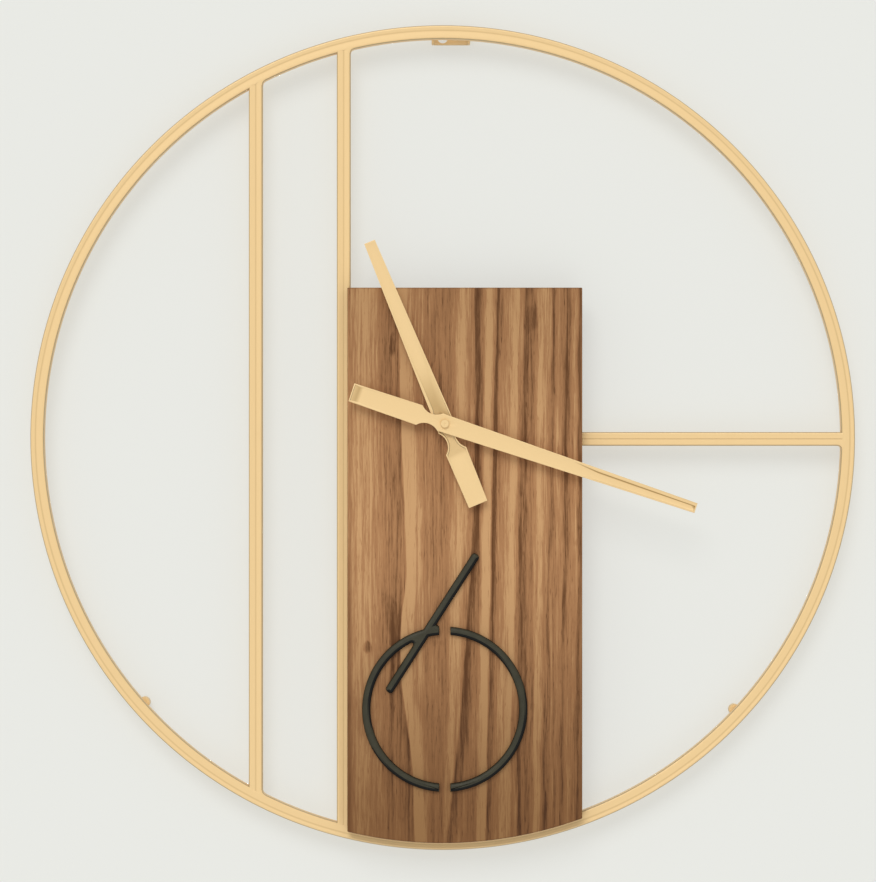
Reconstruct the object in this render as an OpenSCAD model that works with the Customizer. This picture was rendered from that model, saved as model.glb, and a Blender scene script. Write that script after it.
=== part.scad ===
// Round wall clock: a welded gold tube ring with two upright bars and a side bar, a walnut
// panel with a black numeral six, two gold hands and a quartz movement behind the panel.
// The wall is the plane y = 0, the front looks along -Y, and the origin is the centre of
// the keyhole that the wall screw goes into. All sizes are in millimetres.

/* [Frame] */
// Outside diameter of the ring
ring_od = 600; // [560:1:660]
// Width of the square tube, seen from the front
tube_w = 10; // [9:0.5:12]
// Depth of the square tube, front to back
tube_d = 10; // [9:0.5:12]
// Wall of the tube
tube_wall = 1; // [0.8:0.1:1.5]
// Outside corner radius of the tube
tube_corner = 1.5; // [1.2:0.1:2.2]
// Depth of the shallow valley along the tube's front face
face_dip = 0.3; // [0.1:0.05:0.5]
// Centre line of the left upright, left of the ring's centre
left_bar_x = 136; // [115:1:150]
// Centre line of the right upright, left of the ring's centre
right_bar_x = 72; // [65:1:85]
// Height of the side bar's centre line over the ring's centre
cross_bar_rise = -1; // [-5:1:5]
// Length of the side bar that lies behind the panel
cross_bar_lap = 40; // [30:1:50]
// Gap that each weld bridges
weld_gap = 0.05; // [0.02:0.01:0.1]

/* [Wall fixings] */
// Width of the hanger bracket
hanger_w = 28; // [24:1:34]
// Height of the hanger bracket
hanger_h = 12; // [11.5:0.1:13]
// Sheet thickness of the hanger bracket
hanger_t = 2; // [1.5:0.1:2.5]
// How far the bracket reaches inside the ring's tube
hanger_drop = 2.5; // [2:0.1:4]
// Radius of the keyhole's round mouth
keyhole_r = 3.75; // [3.5:0.05:4]
// Width of the keyhole's slot
keyhole_slot = 3.8; // [3.4:0.1:4]
// Metal left below the keyhole
keyhole_edge = 1.3; // [1.2:0.1:1.6]
// Distance from the bracket's left end to the keyhole
keyhole_inset = 8; // [7:0.5:12]
// Diameter of each peg that stands off the wall
peg_d = 8; // [6:0.5:9]
// Direction of the left peg from the ring's centre, in degrees
left_peg_turn = 221.6; // [212:0.1:232]
// Direction of the right peg from the ring's centre, in degrees
right_peg_turn = 317; // [308:0.1:328]

/* [Panel] */
// Width of the wood panel
panel_w = 170; // [160:1:185]
// Thickness of the wood panel
panel_t = 12; // [10:0.5:15]
// Height of the panel's top edge over the ring's centre
panel_top = 108.5; // [95:0.5:125]
// How far the panel overlaps the right upright
panel_side_lap = 2; // [1.5:0.1:4]
// How far the panel's curved foot overlaps the ring
panel_foot_lap = 3.5; // [3:0.1:7]
// Length of each steel tab that holds the panel
tab_l = 24; // [20:1:28]
// Width of each steel tab
tab_w = 16; // [12:1:20]
// Thickness of each steel tab
tab_t = 2; // [1.5:0.1:3]
// Shank diameter of the wood screws
screw_d = 3; // [2.5:0.1:3.5]
// Depth of the screws in the wood
screw_bite = 8; // [6:0.5:9]

/* [Numeral] */
// Outside diameter of the numeral's bowl
bowl_od = 119.5; // [100:0.5:130]
// Width of the numeral's strokes
stroke = 6; // [4:0.1:8]
// Gaps at the top and bottom of the bowl
bowl_gap = 8; // [6:0.1:10]
// Thickness of the numeral
numeral_t = 4; // [3:0.1:6]
// Distance from the hands' axis down to the bowl's centre
bowl_drop = 206.5; // [195:0.5:215]
// Length of the slanted stroke
slash_l = 118.5; // [100:0.5:125]
// Lean of the slanted stroke from upright, in degrees
slash_lean = 32.8; // [28:0.1:36]
// Middle of the slanted stroke, left of the bowl's centre
slash_left = 8.9; // [6:0.1:11]
// Middle of the slanted stroke, over the bowl's centre
slash_rise = 62.3; // [58:0.1:68]

/* [Hands] */
// Hands' axis, right of the ring's centre
hub_x = 1.5; // [-4:0.1:4]
// Hands' axis, over the ring's centre
hub_rise = 10; // [4:0.5:16]
// Minute hand from axis to tip
minute_l = 191; // [170:1:210]
// Minute hand's tail from axis to end
minute_tail = 71; // [60:1:80]
// Minute hand's width at the axis
minute_root_w = 13; // [12:0.1:14]
// Minute hand's width at the tip
minute_tip_w = 7.4; // [6:0.1:9]
// Minute hand's width at the tail's shoulders
minute_shoulder_w = 15; // [13:0.1:16]
// Minute hand's width at the tail's end
minute_end_w = 13.6; // [12:0.1:15]
// Distance from the axis to the minute hand's neck
minute_neck = 11; // [10:0.1:12]
// Distance from the axis to the minute hand's shoulders
minute_shoulder = 19; // [18.5:0.1:20]
// Hour hand from axis to tip
hour_l = 142; // [125:1:155]
// Hour hand's tail from axis to end
hour_tail = 63; // [55:1:70]
// Hour hand's width at the axis
hour_root_w = 13.4; // [12.5:0.1:14.5]
// Hour hand's width at the tip
hour_tip_w = 8.2; // [7:0.1:10]
// Hour hand's width at the tail's shoulders
hour_shoulder_w = 15.8; // [14:0.1:17]
// Hour hand's width at the tail's end
hour_end_w = 14.4; // [13:0.1:16]
// Distance from the axis to the hour hand's neck
hour_neck = 12.7; // [12:0.1:14]
// Distance from the axis to the hour hand's shoulders
hour_shoulder = 21.5; // [21:0.1:23]
// Width of both hands' necks
neck_w = 7.4; // [6.8:0.1:8]
// Radius of the round cut on each side of a neck
neck_cut_r = 11; // [10:0.1:12]
// Sheet thickness of the hands
hand_t = 0.6; // [0.5:0.05:0.8]
// Height of the hands' turned-up rim, sheet included
hand_h = 1.4; // [1.1:0.05:1.8]
// Width of the turned-up rim
hand_rim = 0.8; // [0.6:0.05:1.1]
// Clear space in front of the bush and between the hands
hand_gap = 1; // [0.8:0.1:1.5]
// Where the minute hand points, in degrees clockwise from twelve
minute_turn = 108.6; // [0:0.1:360]
// Where the hour hand points, in degrees clockwise from twelve
hour_turn = 337.5; // [0:0.1:360]
// Diameter of the nut on the minute hand
hand_nut_d = 6; // [5.2:0.1:7]
// Height of the nut on the minute hand
hand_nut_h = 2.6; // [2.4:0.1:3.5]

/* [Movement] */
// Diameter of the battery
battery_d = 14.2; // [13.8:0.1:14.5]
// Length of the battery with its button
battery_l = 50.5; // [49.5:0.1:50.5]
// Diameter of the battery's button
battery_button_d = 5.4; // [5:0.1:5.8]
// Height of the battery's button
battery_button_h = 1; // [0.8:0.1:1.4]
// Front wall of the movement's case
case_wall = 1.6; // [1.4:0.1:2]
// Side walls of the movement's case
case_side = 1.4; // [1.2:0.1:2]
// Corner radius of the movement's case
case_corner = 4; // [3:0.1:5]
// Thickness of the case's rear cover
cover_t = 1.4; // [1.2:0.1:1.8]
// Thickness of the rubber gasket on the case
gasket_t = 1; // [0.8:0.1:1.5]
// Outside diameter of the threaded bush
bush_d = 7.8; // [7.6:0.1:8]
// Width of the bush nut across its flats
nut_af = 10.5; // [10:0.1:11]
// Height of the bush nut
nut_h = 2.5; // [2:0.1:3]
// Thickness of the washer under the bush nut
washer_t = 1; // [0.6:0.1:1.2]
// Outside diameter of the washer under the bush nut
washer_d = 13; // [12.4:0.1:13.4]
// Diameter of the minute arbor
arbor_d = 3.2; // [3:0.05:3.4]
// Outside diameter of the hour tube
hour_tube_d = 5; // [4.8:0.05:5.2]
// Radial running clearance of shafts and pivots
run_fit = 0.06; // [0.04:0.01:0.08]
// Radial clearance of pressed and bolted pieces
seat_fit = 0.02; // [0.01:0.01:0.03]
// Thickness of the train's wheels
wheel_t = 1; // [0.8:0.05:1.05]
// Free space between the train's layers
layer_gap = 0.4; // [0.35:0.01:0.45]
// Diameter of the setting knob
knob_d = 11; // [9:0.5:12]
// Height of the setting knob behind the cover
knob_h = 2; // [1.6:0.1:3]
// Space between the setting knob and the wall
wall_clear = 1; // [0.5:0.1:3]

/* [Hidden] */
$fn = 96;

// Colours
gold = [0.93, 0.80, 0.56];
walnut = [0.62, 0.45, 0.32];
numeral_black = [0.16, 0.16, 0.13];
case_black = [0.13, 0.13, 0.14];
white_plastic = [0.90, 0.89, 0.85];
brass = [0.80, 0.66, 0.36];
steel = [0.70, 0.71, 0.73];

// Teeth
minute_teeth = 10;
motion_teeth = 30;
motion_pinion_teeth = 8;
hour_teeth = 32;
centre_teeth = 64;
third_pinion_teeth = 8;
third_teeth = 60;
second_pinion_teeth = 8;
second_teeth = 60;
intermediate_pinion_teeth = 12;
intermediate_teeth = 60;
rotor_pinion_teeth = 10;
knob_teeth = 10;
pressure_angle = 20;
wheel_addendum = 0.7;
pinion_addendum = 0.9;
root_clearance = 0.3;
tooth_thinning = 0.12;

// Axes of the train, measured from the hands' axis
motion_dist = 10;
train_dist = 11;
rotor_dist = 9;
motion_dir = 180;
third_dir = 20;
intermediate_dir = 135;
rotor_dir = 110;
knob_dir = 198;
motion_at = polar(motion_dist, motion_dir);
third_at = polar(train_dist, third_dir);
intermediate_at = polar(train_dist, intermediate_dir);
rotor_at = intermediate_at + polar(rotor_dist, rotor_dir);
knob_dist = motion_dist * (motion_teeth + knob_teeth) / (motion_teeth + minute_teeth);
knob_at = motion_at + polar(knob_dist, knob_dir);
motion_module = 2 * motion_dist / (minute_teeth + motion_teeth);
hour_module = 2 * motion_dist / (motion_pinion_teeth + hour_teeth);
centre_module = 2 * train_dist / (third_pinion_teeth + centre_teeth);
third_module = 2 * train_dist / (second_pinion_teeth + third_teeth);
second_module = 2 * train_dist / (intermediate_pinion_teeth + second_teeth);
rotor_module = 2 * rotor_dist / (rotor_pinion_teeth + intermediate_teeth);

// Case, round the battery and the train
battery_play = 0.2;
battery_sink = 0.85;
bay_wall = 0.8;
contact_t = 0.4;
contact_room = 1.35;
contact_touch = 0.05;
partition_t = 1.1;
case_w = battery_l + 2 * (contact_room + case_side);
case_d = bay_wall + battery_play + battery_d + battery_sink;
room_half = case_w / 2 - case_side;
battery_v = -room_half + battery_play + battery_d / 2;
partition_top = battery_v + battery_d / 2 + battery_play + partition_t;

// Depths from the wall to the front
wall_gap = gasket_t + case_d + knob_h + wall_clear - tube_d;
frame_back = -wall_gap;
frame_front = frame_back - tube_d;
frame_mid = (frame_back + frame_front) / 2;
panel_front = frame_front - panel_t;
case_f = frame_front + gasket_t;
case_b = case_f + case_d;
room_f = case_f + case_wall;
room_b = case_b - cover_t;
battery_mid = case_f + bay_wall + battery_play + battery_d / 2;
washer_f = panel_front - washer_t;
nut_f = washer_f - nut_h;
bush_f = nut_f - 1;
hour_hand_b = bush_f - hand_gap;
hour_hand_f = hour_hand_b - hand_h;
hour_tube_f = hour_hand_f - 0.2;
minute_hand_b = hour_hand_f - hand_gap;
minute_hand_f = minute_hand_b - hand_h;
nut_seat = minute_hand_b - hand_t;

// Layers of the train, from the front wall to the rear cover
end_play = 0.3;
plate_t = 1;
hour_f = room_f + end_play;
hour_b = hour_f + wheel_t;
motion_f = hour_b + layer_gap;
motion_b = motion_f + wheel_t;
plate_f = motion_b + layer_gap;
plate_b = plate_f + plate_t;
centre_f = plate_b + layer_gap;
centre_b = centre_f + wheel_t;
third_f = centre_b + layer_gap;
third_b = third_f + wheel_t;
second_f = third_b + layer_gap;
second_b = second_f + wheel_t;
intermediate_f = second_b + layer_gap;
intermediate_b = intermediate_f + wheel_t;
motion_turn = mesh_turn(motion_dir, minute_teeth, 0, motion_teeth);
pinion_over = 0.12;
boss_h = 1.8;
boss_r = 1.6;
boss_f = room_b - boss_h;
pivot_r = 0.5;
spindle_r = 0.8;
shoulder_play = 0.15;
knob_stem_r = 1.4;
thread_r = arbor_d / 2 - 0.3;
bush_flange_r = bush_d / 2 + 1.6;
bush_flange_t = 0.6;

// Ring, bars and panel
ring_in = ring_od / 2 - tube_w;
ring_mid = ring_od / 2 - tube_w / 2;
hang_rise = ring_in - hanger_drop + keyhole_edge + keyhole_r;
ring_z = -hang_rise;
hub_z = ring_z + hub_rise;
panel_left = -right_bar_x + tube_w / 2 - panel_side_lap;
panel_right = panel_left + panel_w;
panel_foot_r = ring_in + panel_foot_lap;
bowl_z = hub_z - bowl_drop;
peg_at = ring_in + peg_d / 2 - hanger_drop;
screw_hole_r = screw_d / 2 + 0.2;
screw_head_r = screw_d;
screw_head_h = 0.6 * screw_d;
tab_hole = tab_l / 2;
foot_sag = ring_in - sqrt(ring_in * ring_in - tab_w * tab_w / 4);
side_tab_rises = [60, -150];
foot_tab_turns = [262, 282];
cross_screw_x = panel_right - cross_bar_lap / 2;

// Motor
stator_t = 1.2;
stator_f = centre_f + 0.7;
stator_b = stator_f + stator_t;
rotor_r = 3.2;
rotor_f = plate_b + 0.5;
rotor_b = rotor_f + 3;
stator_hole_r = rotor_r + 0.5;
stator_ring_r = stator_hole_r + 2.3;
core_w = 3;
core_v = room_half - 4.2;
core_left = rotor_at[0] - 4.2;
core_right = 22;
band_left = rotor_at[0] + stator_hole_r;
coil_r = 3.4;
core_fit = 0.1;
arm_w = 3.4;
arm_v = rotor_at[1];
coil_room = 0.5;
coil_left = rotor_at[0] + stator_ring_r + coil_room;
coil_right = core_right - arm_w - coil_room;
coil_l = coil_right - coil_left;
coil_mid = (coil_left + coil_right) / 2;
pcb_t = 1;
crystal_r = 0.9;
post_r = 1.4;
post_in = 2.6;
plate_half = room_half - 0.4;
plate_top = arm_v + 2.2;
plate_low = partition_top + 0.4;

function polar(r, turn) = [r * cos(turn), r * sin(turn)];

// Involute of an angle in degrees, in radians
function involute(a) = tan(a) - a * PI / 180;

// Half of a tooth's angle at radius r, in degrees
function tooth_half(r, teeth, size) =
    let (pitch_r = teeth * size / 2)
    let (base_r = pitch_r * cos(pressure_angle))
    let (turn = acos(base_r / max(r, base_r)))
    let (thick = PI * size / 2 - 2 * tooth_thinning * size)
    (thick / (2 * pitch_r) + involute(pressure_angle) - involute(turn)) * 180 / PI;

// Turn of the gear that meshes with a gear of the given teeth and turn, in direction dir from it
function mesh_turn(dir, teeth, turn, mate_teeth) =
    dir + 180 + teeth / mate_teeth * (dir - turn) + 180 / mate_teeth;

// A shape drawn as seen from the front, X right and Z up, made solid between two depths
module slab(front, back) {
    translate([0, back, 0])
        rotate([90, 0, 0])
            linear_extrude(back - front)
                children();
}

// A round rod along Y between two depths
module rod(r, front, back) {
    translate([0, back, 0])
        rotate([90, 0, 0])
            cylinder(r = r, h = back - front);
}

module at_ring() {
    translate([0, 0, ring_z])
        children();
}

module at_axis(p = [0, 0]) {
    translate([hub_x + p[0], 0, hub_z + p[1]])
        children();
}

module rounded_box(w, h, r) {
    square([w - 2 * r, h], center = true);
    square([w, h - 2 * r], center = true);
    for (sx = [-1, 1], sy = [-1, 1])
        translate([sx * (w / 2 - r), sy * (h / 2 - r)])
            circle(r);
}

// Tube section, with its dished front face towards +Y
module tube_section() {
    dip_half = tube_w / 2 - tube_corner;
    difference() {
        rounded_box(tube_w, tube_d, tube_corner);
        rounded_box(tube_w - 2 * tube_wall, tube_d - 2 * tube_wall, max(tube_corner - tube_wall, 0.3));
        polygon([
            [-dip_half, tube_d / 2 + 1], [-dip_half, tube_d / 2], [0, tube_d / 2 - face_dip],
            [dip_half, tube_d / 2], [dip_half, tube_d / 2 + 1]
        ]);
    }
}

module straight_tube(l) {
    rotate([0, 0, 180])
        linear_extrude(l)
            tube_section();
}

// What lies inside the ring, for coping the bars
module ring_space() {
    at_ring()
        rod(ring_in - weld_gap, frame_front - 1, frame_back + 1, $fn = 180);
}

module ring_tube() {
    color(gold)
        at_ring()
            translate([0, frame_mid, 0])
                rotate([90, 0, 0])
                    rotate_extrude($fn = 180)
                        translate([ring_mid, 0])
                            tube_section();
}

module upright(x) {
    intersection() {
        at_ring()
            translate([-x, frame_mid, -ring_od / 2])
                straight_tube(ring_od);
        ring_space();
    }
}

module left_bar() {
    color(gold)
        upright(left_bar_x);
}

module right_bar() {
    color(gold)
        upright(right_bar_x);
}

module cross_bar() {
    color(gold)
        difference() {
            intersection() {
                at_ring()
                    translate([panel_right - cross_bar_lap, frame_mid, cross_bar_rise])
                        rotate([0, 90, 0])
                            straight_tube(ring_od / 2);
                ring_space();
            }
            at_ring()
                translate([cross_screw_x, 0, cross_bar_rise])
                    rod(screw_hole_r, frame_front - 1, frame_back + 1);
        }
}

// A bracket bent like a hat: its back is the keyhole plate, its legs are welded to the ring
module hanger_bracket() {
    low = -keyhole_edge - keyhole_r;
    left = -keyhole_inset;
    slot_rise = hanger_h - 2 * keyhole_edge - keyhole_r - keyhole_slot / 2;
    color(gold)
        difference() {
            translate([left, frame_back, low])
                cube([hanger_w, wall_gap, hanger_h]);
            translate([left + hanger_t, frame_back - 1, low - 1])
                cube([hanger_w - 2 * hanger_t, wall_gap + 1 - hanger_t, hanger_h + 2]);
            rod(keyhole_r, -hanger_t - 1, 1);
            slab(-hanger_t - 1, 1)
                translate([-keyhole_slot / 2, 0])
                    square([keyhole_slot, slot_rise]);
            translate([0, 0, slot_rise])
                rod(keyhole_slot / 2, -hanger_t - 1, 1);
        }
}

module wall_pegs() {
    color(gold)
        for (turn = [left_peg_turn, right_peg_turn]) {
            p = polar(peg_at, turn);
            at_ring()
                translate([p[0], 0, p[1]])
                    rod(peg_d / 2, frame_back, 0);
        }
}

// Places of the tabs on the right upright and on the ring's foot
module at_side_tabs() {
    for (rise = side_tab_rises)
        at_ring()
            translate([-right_bar_x + tube_w / 2 + weld_gap, 0, rise])
                children();
}

module at_foot_tabs() {
    for (turn = foot_tab_turns)
        at_ring()
            rotate([0, -turn, 0])
                translate([ring_in - weld_gap, 0, 0])
                    mirror([1, 0, 0])
                        children();
}

module tab() {
    difference() {
        slab(frame_front, frame_front + tab_t)
            translate([0, -tab_w / 2])
                square([tab_l, tab_w]);
        translate([tab_hole, 0, 0])
            rod(screw_hole_r, frame_front - 1, frame_front + tab_t + 1);
    }
}

module panel_tabs() {
    color(gold) {
        at_side_tabs()
            tab();
        at_foot_tabs()
            translate([foot_sag, 0, 0])
                tab();
    }
}

// A wood screw with a cross recess, its head seated at depth seat
module wood_screw(seat) {
    difference() {
        union() {
            rod(screw_head_r, seat, seat + screw_head_h);
            rod(screw_d / 2, frame_front - screw_bite, seat);
        }
        for (turn = [0, 90])
            rotate([0, turn, 0])
                translate([0, seat + screw_head_h, 0])
                    cube([screw_d, screw_head_h, 0.25 * screw_d], center = true);
    }
}

module tab_screws() {
    color(steel) {
        at_side_tabs()
            translate([tab_hole, 0, 0])
                wood_screw(frame_front + tab_t);
        at_foot_tabs()
            translate([tab_hole + foot_sag, 0, 0])
                wood_screw(frame_front + tab_t);
    }
}

module cross_bar_screw() {
    color(steel)
        at_ring()
            translate([cross_screw_x, 0, cross_bar_rise])
                wood_screw(frame_back);
}

module pilot_hole() {
    rod(screw_d / 2 + seat_fit, frame_front - screw_bite - 0.2, frame_front + 1);
}

module wood_panel() {
    color(walnut)
        difference() {
            intersection() {
                at_ring()
                    slab(panel_front, frame_front)
                        translate([panel_left, -ring_od / 2])
                            square([panel_w, ring_od / 2 + panel_top]);
                at_ring()
                    rod(panel_foot_r, panel_front - 1, frame_front + 1, $fn = 180);
            }
            at_axis()
                rod(bush_d / 2 + 0.2, panel_front - 1, frame_front + 1);
            at_side_tabs()
                translate([tab_hole, 0, 0])
                    pilot_hole();
            at_foot_tabs()
                translate([tab_hole + foot_sag, 0, 0])
                    pilot_hole();
            at_ring()
                translate([cross_screw_x, 0, cross_bar_rise])
                    pilot_hole();
        }
}

// One half of the numeral's bowl: side is -1 for left and 1 for right
module bowl_half(side) {
    difference() {
        circle(bowl_od / 2, $fn = 180);
        circle(bowl_od / 2 - stroke, $fn = 180);
        translate([-side * (bowl_od / 2 - bowl_gap / 2), 0])
            square([bowl_od, bowl_od + 2], center = true);
    }
}

module numeral_left() {
    color(numeral_black)
        translate([hub_x, 0, bowl_z])
            slab(panel_front - numeral_t, panel_front) {
                bowl_half(-1);
                translate([-slash_left, slash_rise])
                    rotate(-slash_lean)
                        rounded_box(stroke, slash_l, stroke / 3);
            }
}

module numeral_right() {
    color(numeral_black)
        translate([hub_x, 0, bowl_z])
            slab(panel_front - numeral_t, panel_front)
                bowl_half(1);
}

// Case of the movement: a tray with a battery bay along its foot
module case_front() {
    color(case_black)
        at_axis()
            difference() {
                slab(case_f, room_b)
                    rounded_box(case_w, case_w, case_corner);
                slab(room_f, room_b + 1)
                    translate([-room_half, partition_top])
                        square([2 * room_half, room_half - partition_top]);
                slab(case_f + bay_wall, room_b + 1)
                    translate([-room_half, -room_half])
                        square([2 * room_half, partition_top - partition_t + room_half]);
                rod(bush_d / 2 + seat_fit, case_f - 1, room_f + 1);
                rod(bush_flange_r + seat_fit, room_f - bush_flange_t, room_f + 1);
            }
}

module case_back() {
    cover_low = partition_top - partition_t;
    color(case_black)
        at_axis()
            difference() {
                union() {
                    slab(room_b, case_b)
                        intersection() {
                            rounded_box(case_w, case_w, case_corner);
                            translate([-case_w / 2, cover_low])
                                square([case_w, case_w / 2 - cover_low]);
                        }
                    for (p = [[0, 0], third_at, intermediate_at, rotor_at])
                        translate([p[0], 0, p[1]])
                            rod(boss_r, boss_f, room_b);
                }
                for (p = [[0, 0], third_at, intermediate_at, rotor_at])
                    translate([p[0], 0, p[1]])
                        rod(pivot_r + run_fit, boss_f - 1, room_b);
                translate([knob_at[0], 0, knob_at[1]])
                    rod(knob_stem_r + run_fit, room_b - 1, case_b + 1);
            }
}

module threaded_bush() {
    color(brass)
        at_axis()
            difference() {
                union() {
                    rod(bush_d / 2, bush_f, room_f);
                    rod(bush_flange_r, room_f - bush_flange_t, room_f);
                }
                rod(hour_tube_d / 2 + run_fit, bush_f - 1, room_f + 1);
            }
}

module rubber_gasket() {
    color([0.08, 0.08, 0.08])
        at_axis()
            difference() {
                rod(bush_d / 2 + 5, frame_front, case_f);
                rod(bush_d / 2 + 0.2, frame_front - 1, case_f + 1);
            }
}

module bush_washer() {
    color(brass)
        at_axis()
            difference() {
                rod(washer_d / 2, washer_f, panel_front);
                rod(bush_d / 2 + 0.1, washer_f - 1, panel_front + 1);
            }
}

module bush_nut() {
    color(brass)
        at_axis()
            difference() {
                rod(nut_af / 2 / cos(30), nut_f, washer_f, $fn = 6);
                rod(bush_d / 2 + seat_fit, nut_f - 1, washer_f + 1);
            }
}

// The battery's axis runs along X
module at_battery() {
    at_axis([0, battery_v])
        translate([0, battery_mid, 0])
            children();
}

module battery() {
    body_l = battery_l - battery_button_h;
    color([0.20, 0.42, 0.30])
        at_battery()
            translate([-battery_l / 2, 0, 0])
                rotate([0, 90, 0]) {
                    cylinder(d = battery_d, h = body_l);
                    cylinder(d = battery_button_d, h = battery_l);
                }
}

// A spring plate on the bay's end wall, with a round button towards the battery
module contact() {
    plate_v = 10;
    plate_y = 10;
    button_l = contact_room - contact_t - contact_touch;
    at_battery()
        translate([room_half - contact_t, 0, 0]) {
            translate([0, -plate_y / 2, -plate_v / 2])
                cube([contact_t, plate_y, plate_v]);
            translate([-button_l, 0, 0])
                rotate([0, 90, 0])
                    cylinder(d = 4.4, h = button_l + contact_t / 2);
        }
}

module contact_positive() {
    color(steel)
        contact();
}

module contact_negative() {
    color(steel)
        translate([2 * hub_x, 0, 0])
            mirror([1, 0, 0])
                contact();
}

module circuit_board() {
    board = [11, 24];
    board_at = [hour_teeth * hour_module / 2 + 2.4, partition_top + 1.2];
    color([0.12, 0.36, 0.22])
        at_axis(board_at) {
            slab(room_f, room_f + pcb_t)
                square(board);
            translate([board[0] / 2, 0, 6])
                rod(2.8, room_f + pcb_t / 2, room_f + pcb_t + 0.9);
        }
}

module quartz_crystal() {
    crystal_l = 6;
    crystal_at = [hour_teeth * hour_module / 2 + 7.9, partition_top + 13];
    color(steel)
        at_axis(crystal_at)
            translate([0, room_f + pcb_t + crystal_r + seat_fit, 0])
                cylinder(r = crystal_r, h = crystal_l);
}

module stator() {
    color(steel)
        at_axis()
            slab(stator_f, stator_b)
                difference() {
                    union() {
                        translate(rotor_at)
                            circle(stator_ring_r);
                        translate([band_left, arm_v - arm_w / 2])
                            square([core_right - band_left, arm_w]);
                        translate([core_left, arm_v])
                            square([arm_w, core_v - arm_v + core_w / 2]);
                        translate([core_right - arm_w, arm_v])
                            square([arm_w, core_v - arm_v + core_w / 2]);
                        translate([core_left, core_v - core_w / 2])
                            square([core_right - core_left, core_w]);
                    }
                    translate(rotor_at)
                        circle(stator_hole_r);
                }
}

module motor_coil() {
    flange_t = 0.8;
    flange = 2 * coil_r + 0.4;
    stator_mid = (stator_f + stator_b) / 2;
    color([0.72, 0.38, 0.16])
        at_axis([coil_mid, core_v])
            translate([0, stator_mid, 0])
                difference() {
                    union() {
                        rotate([0, 90, 0])
                            cylinder(r = coil_r, h = coil_l, center = true);
                        for (side = [-1, 1])
                            translate([side * (coil_l / 2 - flange_t / 2), 0, 0])
                                cube([flange_t, flange, flange], center = true);
                    }
                    cube([coil_l + 1, stator_t + 2 * core_fit, core_w + 2 * core_fit], center = true);
                }
}

// The middle plate stands on posts and carries the front pivots
module mid_plate() {
    color(white_plastic)
        at_axis()
            difference() {
                union() {
                    slab(plate_f, plate_b)
                        translate([-plate_half, plate_low])
                            square([2 * plate_half, plate_top - plate_low]);
                    for (u = [-1, 1], v = [plate_low + post_in, plate_top - post_in])
                        translate([u * (plate_half - post_in), 0, v])
                            rod(post_r, room_f, plate_f);
                    for (u = [rotor_at[0] - stator_hole_r - 1.1, core_right - arm_w / 2])
                        translate([u, 0, arm_v])
                            rod(0.8, plate_b, stator_f);
                    translate([motion_at[0], 0, motion_at[1]])
                        rod(spindle_r, hour_f, plate_f);
                }
                rod(arbor_d / 2 + run_fit, plate_f - 1, plate_b + 1);
                translate([knob_at[0], 0, knob_at[1]])
                    rod(knob_stem_r + run_fit, plate_f - 1, plate_b + 1);
                for (p = [third_at, intermediate_at, rotor_at])
                    translate([p[0], 0, p[1]])
                        rod(pivot_r + run_fit, plate_f - 1, plate_b + 1);
            }
}

// Outline of a gear: wheels have short teeth and pinions have long ones
module gear(teeth, size, addendum, dedendum, turn) {
    pitch_r = teeth * size / 2;
    root_r = pitch_r - dedendum * size;
    tip_r = pitch_r + addendum * size;
    flank = [[root_r, -1], [pitch_r, -1], [tip_r, -1], [tip_r, 1], [pitch_r, 1], [root_r, 1]];
    polygon([
        for (i = [0 : teeth - 1], p = flank)
            polar(p[0], turn + i * 360 / teeth + p[1] * tooth_half(p[0], teeth, size))
    ]);
}

module wheel(teeth, size, turn) {
    gear(teeth, size, wheel_addendum, pinion_addendum + root_clearance, turn);
}

module pinion(teeth, size, turn) {
    gear(teeth, size, pinion_addendum, wheel_addendum + root_clearance, turn);
}

// Pivots at both ends of a train spindle
module spindle(front, back) {
    rod(pivot_r, plate_f + shoulder_play, front);
    rod(spindle_r, back, boss_f - shoulder_play);
    rod(pivot_r, back, room_b - shoulder_play);
}

module rotor() {
    pinion_f = intermediate_f - pinion_over;
    pinion_b = intermediate_b + pinion_over;
    turn = mesh_turn(rotor_dir, intermediate_teeth, rotor_dir, rotor_pinion_teeth);
    color(steel)
        at_axis(rotor_at) {
            rod(rotor_r, rotor_f, rotor_b);
            rod(spindle_r, rotor_b - 0.5, pinion_b);
            slab(pinion_f, pinion_b)
                pinion(rotor_pinion_teeth, rotor_module, turn);
            spindle(rotor_f + 0.5, pinion_b - 0.5);
        }
}

module intermediate_wheel() {
    pinion_f = second_f - pinion_over;
    turn = mesh_turn(intermediate_dir, second_teeth, intermediate_dir, intermediate_pinion_teeth);
    color(white_plastic)
        at_axis(intermediate_at) {
            slab(intermediate_f, intermediate_b)
                wheel(intermediate_teeth, rotor_module, rotor_dir);
            slab(pinion_f, intermediate_f + 0.2)
                pinion(intermediate_pinion_teeth, second_module, turn);
            spindle(pinion_f + 0.2, intermediate_b - 0.2);
        }
}

// The second wheel's front pivot turns in the rear end of the minute arbor
module second_wheel() {
    pinion_f = third_f - pinion_over;
    turn = mesh_turn(third_dir + 180, third_teeth, third_dir + 180, second_pinion_teeth);
    color(white_plastic)
        at_axis() {
            slab(second_f, second_b)
                wheel(second_teeth, second_module, intermediate_dir);
            slab(pinion_f, second_f + 0.2)
                pinion(second_pinion_teeth, third_module, turn);
            rod(pivot_r, centre_b - 1.5, pinion_f + 0.2);
            rod(spindle_r, second_b - 0.2, boss_f - shoulder_play);
            rod(pivot_r, second_b - 0.2, room_b - shoulder_play);
        }
}

module third_wheel() {
    pinion_f = centre_f - pinion_over;
    turn = mesh_turn(third_dir, centre_teeth, third_dir, third_pinion_teeth);
    color(white_plastic)
        at_axis(third_at) {
            slab(third_f, third_b)
                wheel(third_teeth, third_module, third_dir + 180);
            slab(pinion_f, third_f + 0.2)
                pinion(third_pinion_teeth, centre_module, turn);
            spindle(pinion_f + 0.2, third_b - 0.2);
        }
}

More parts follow.
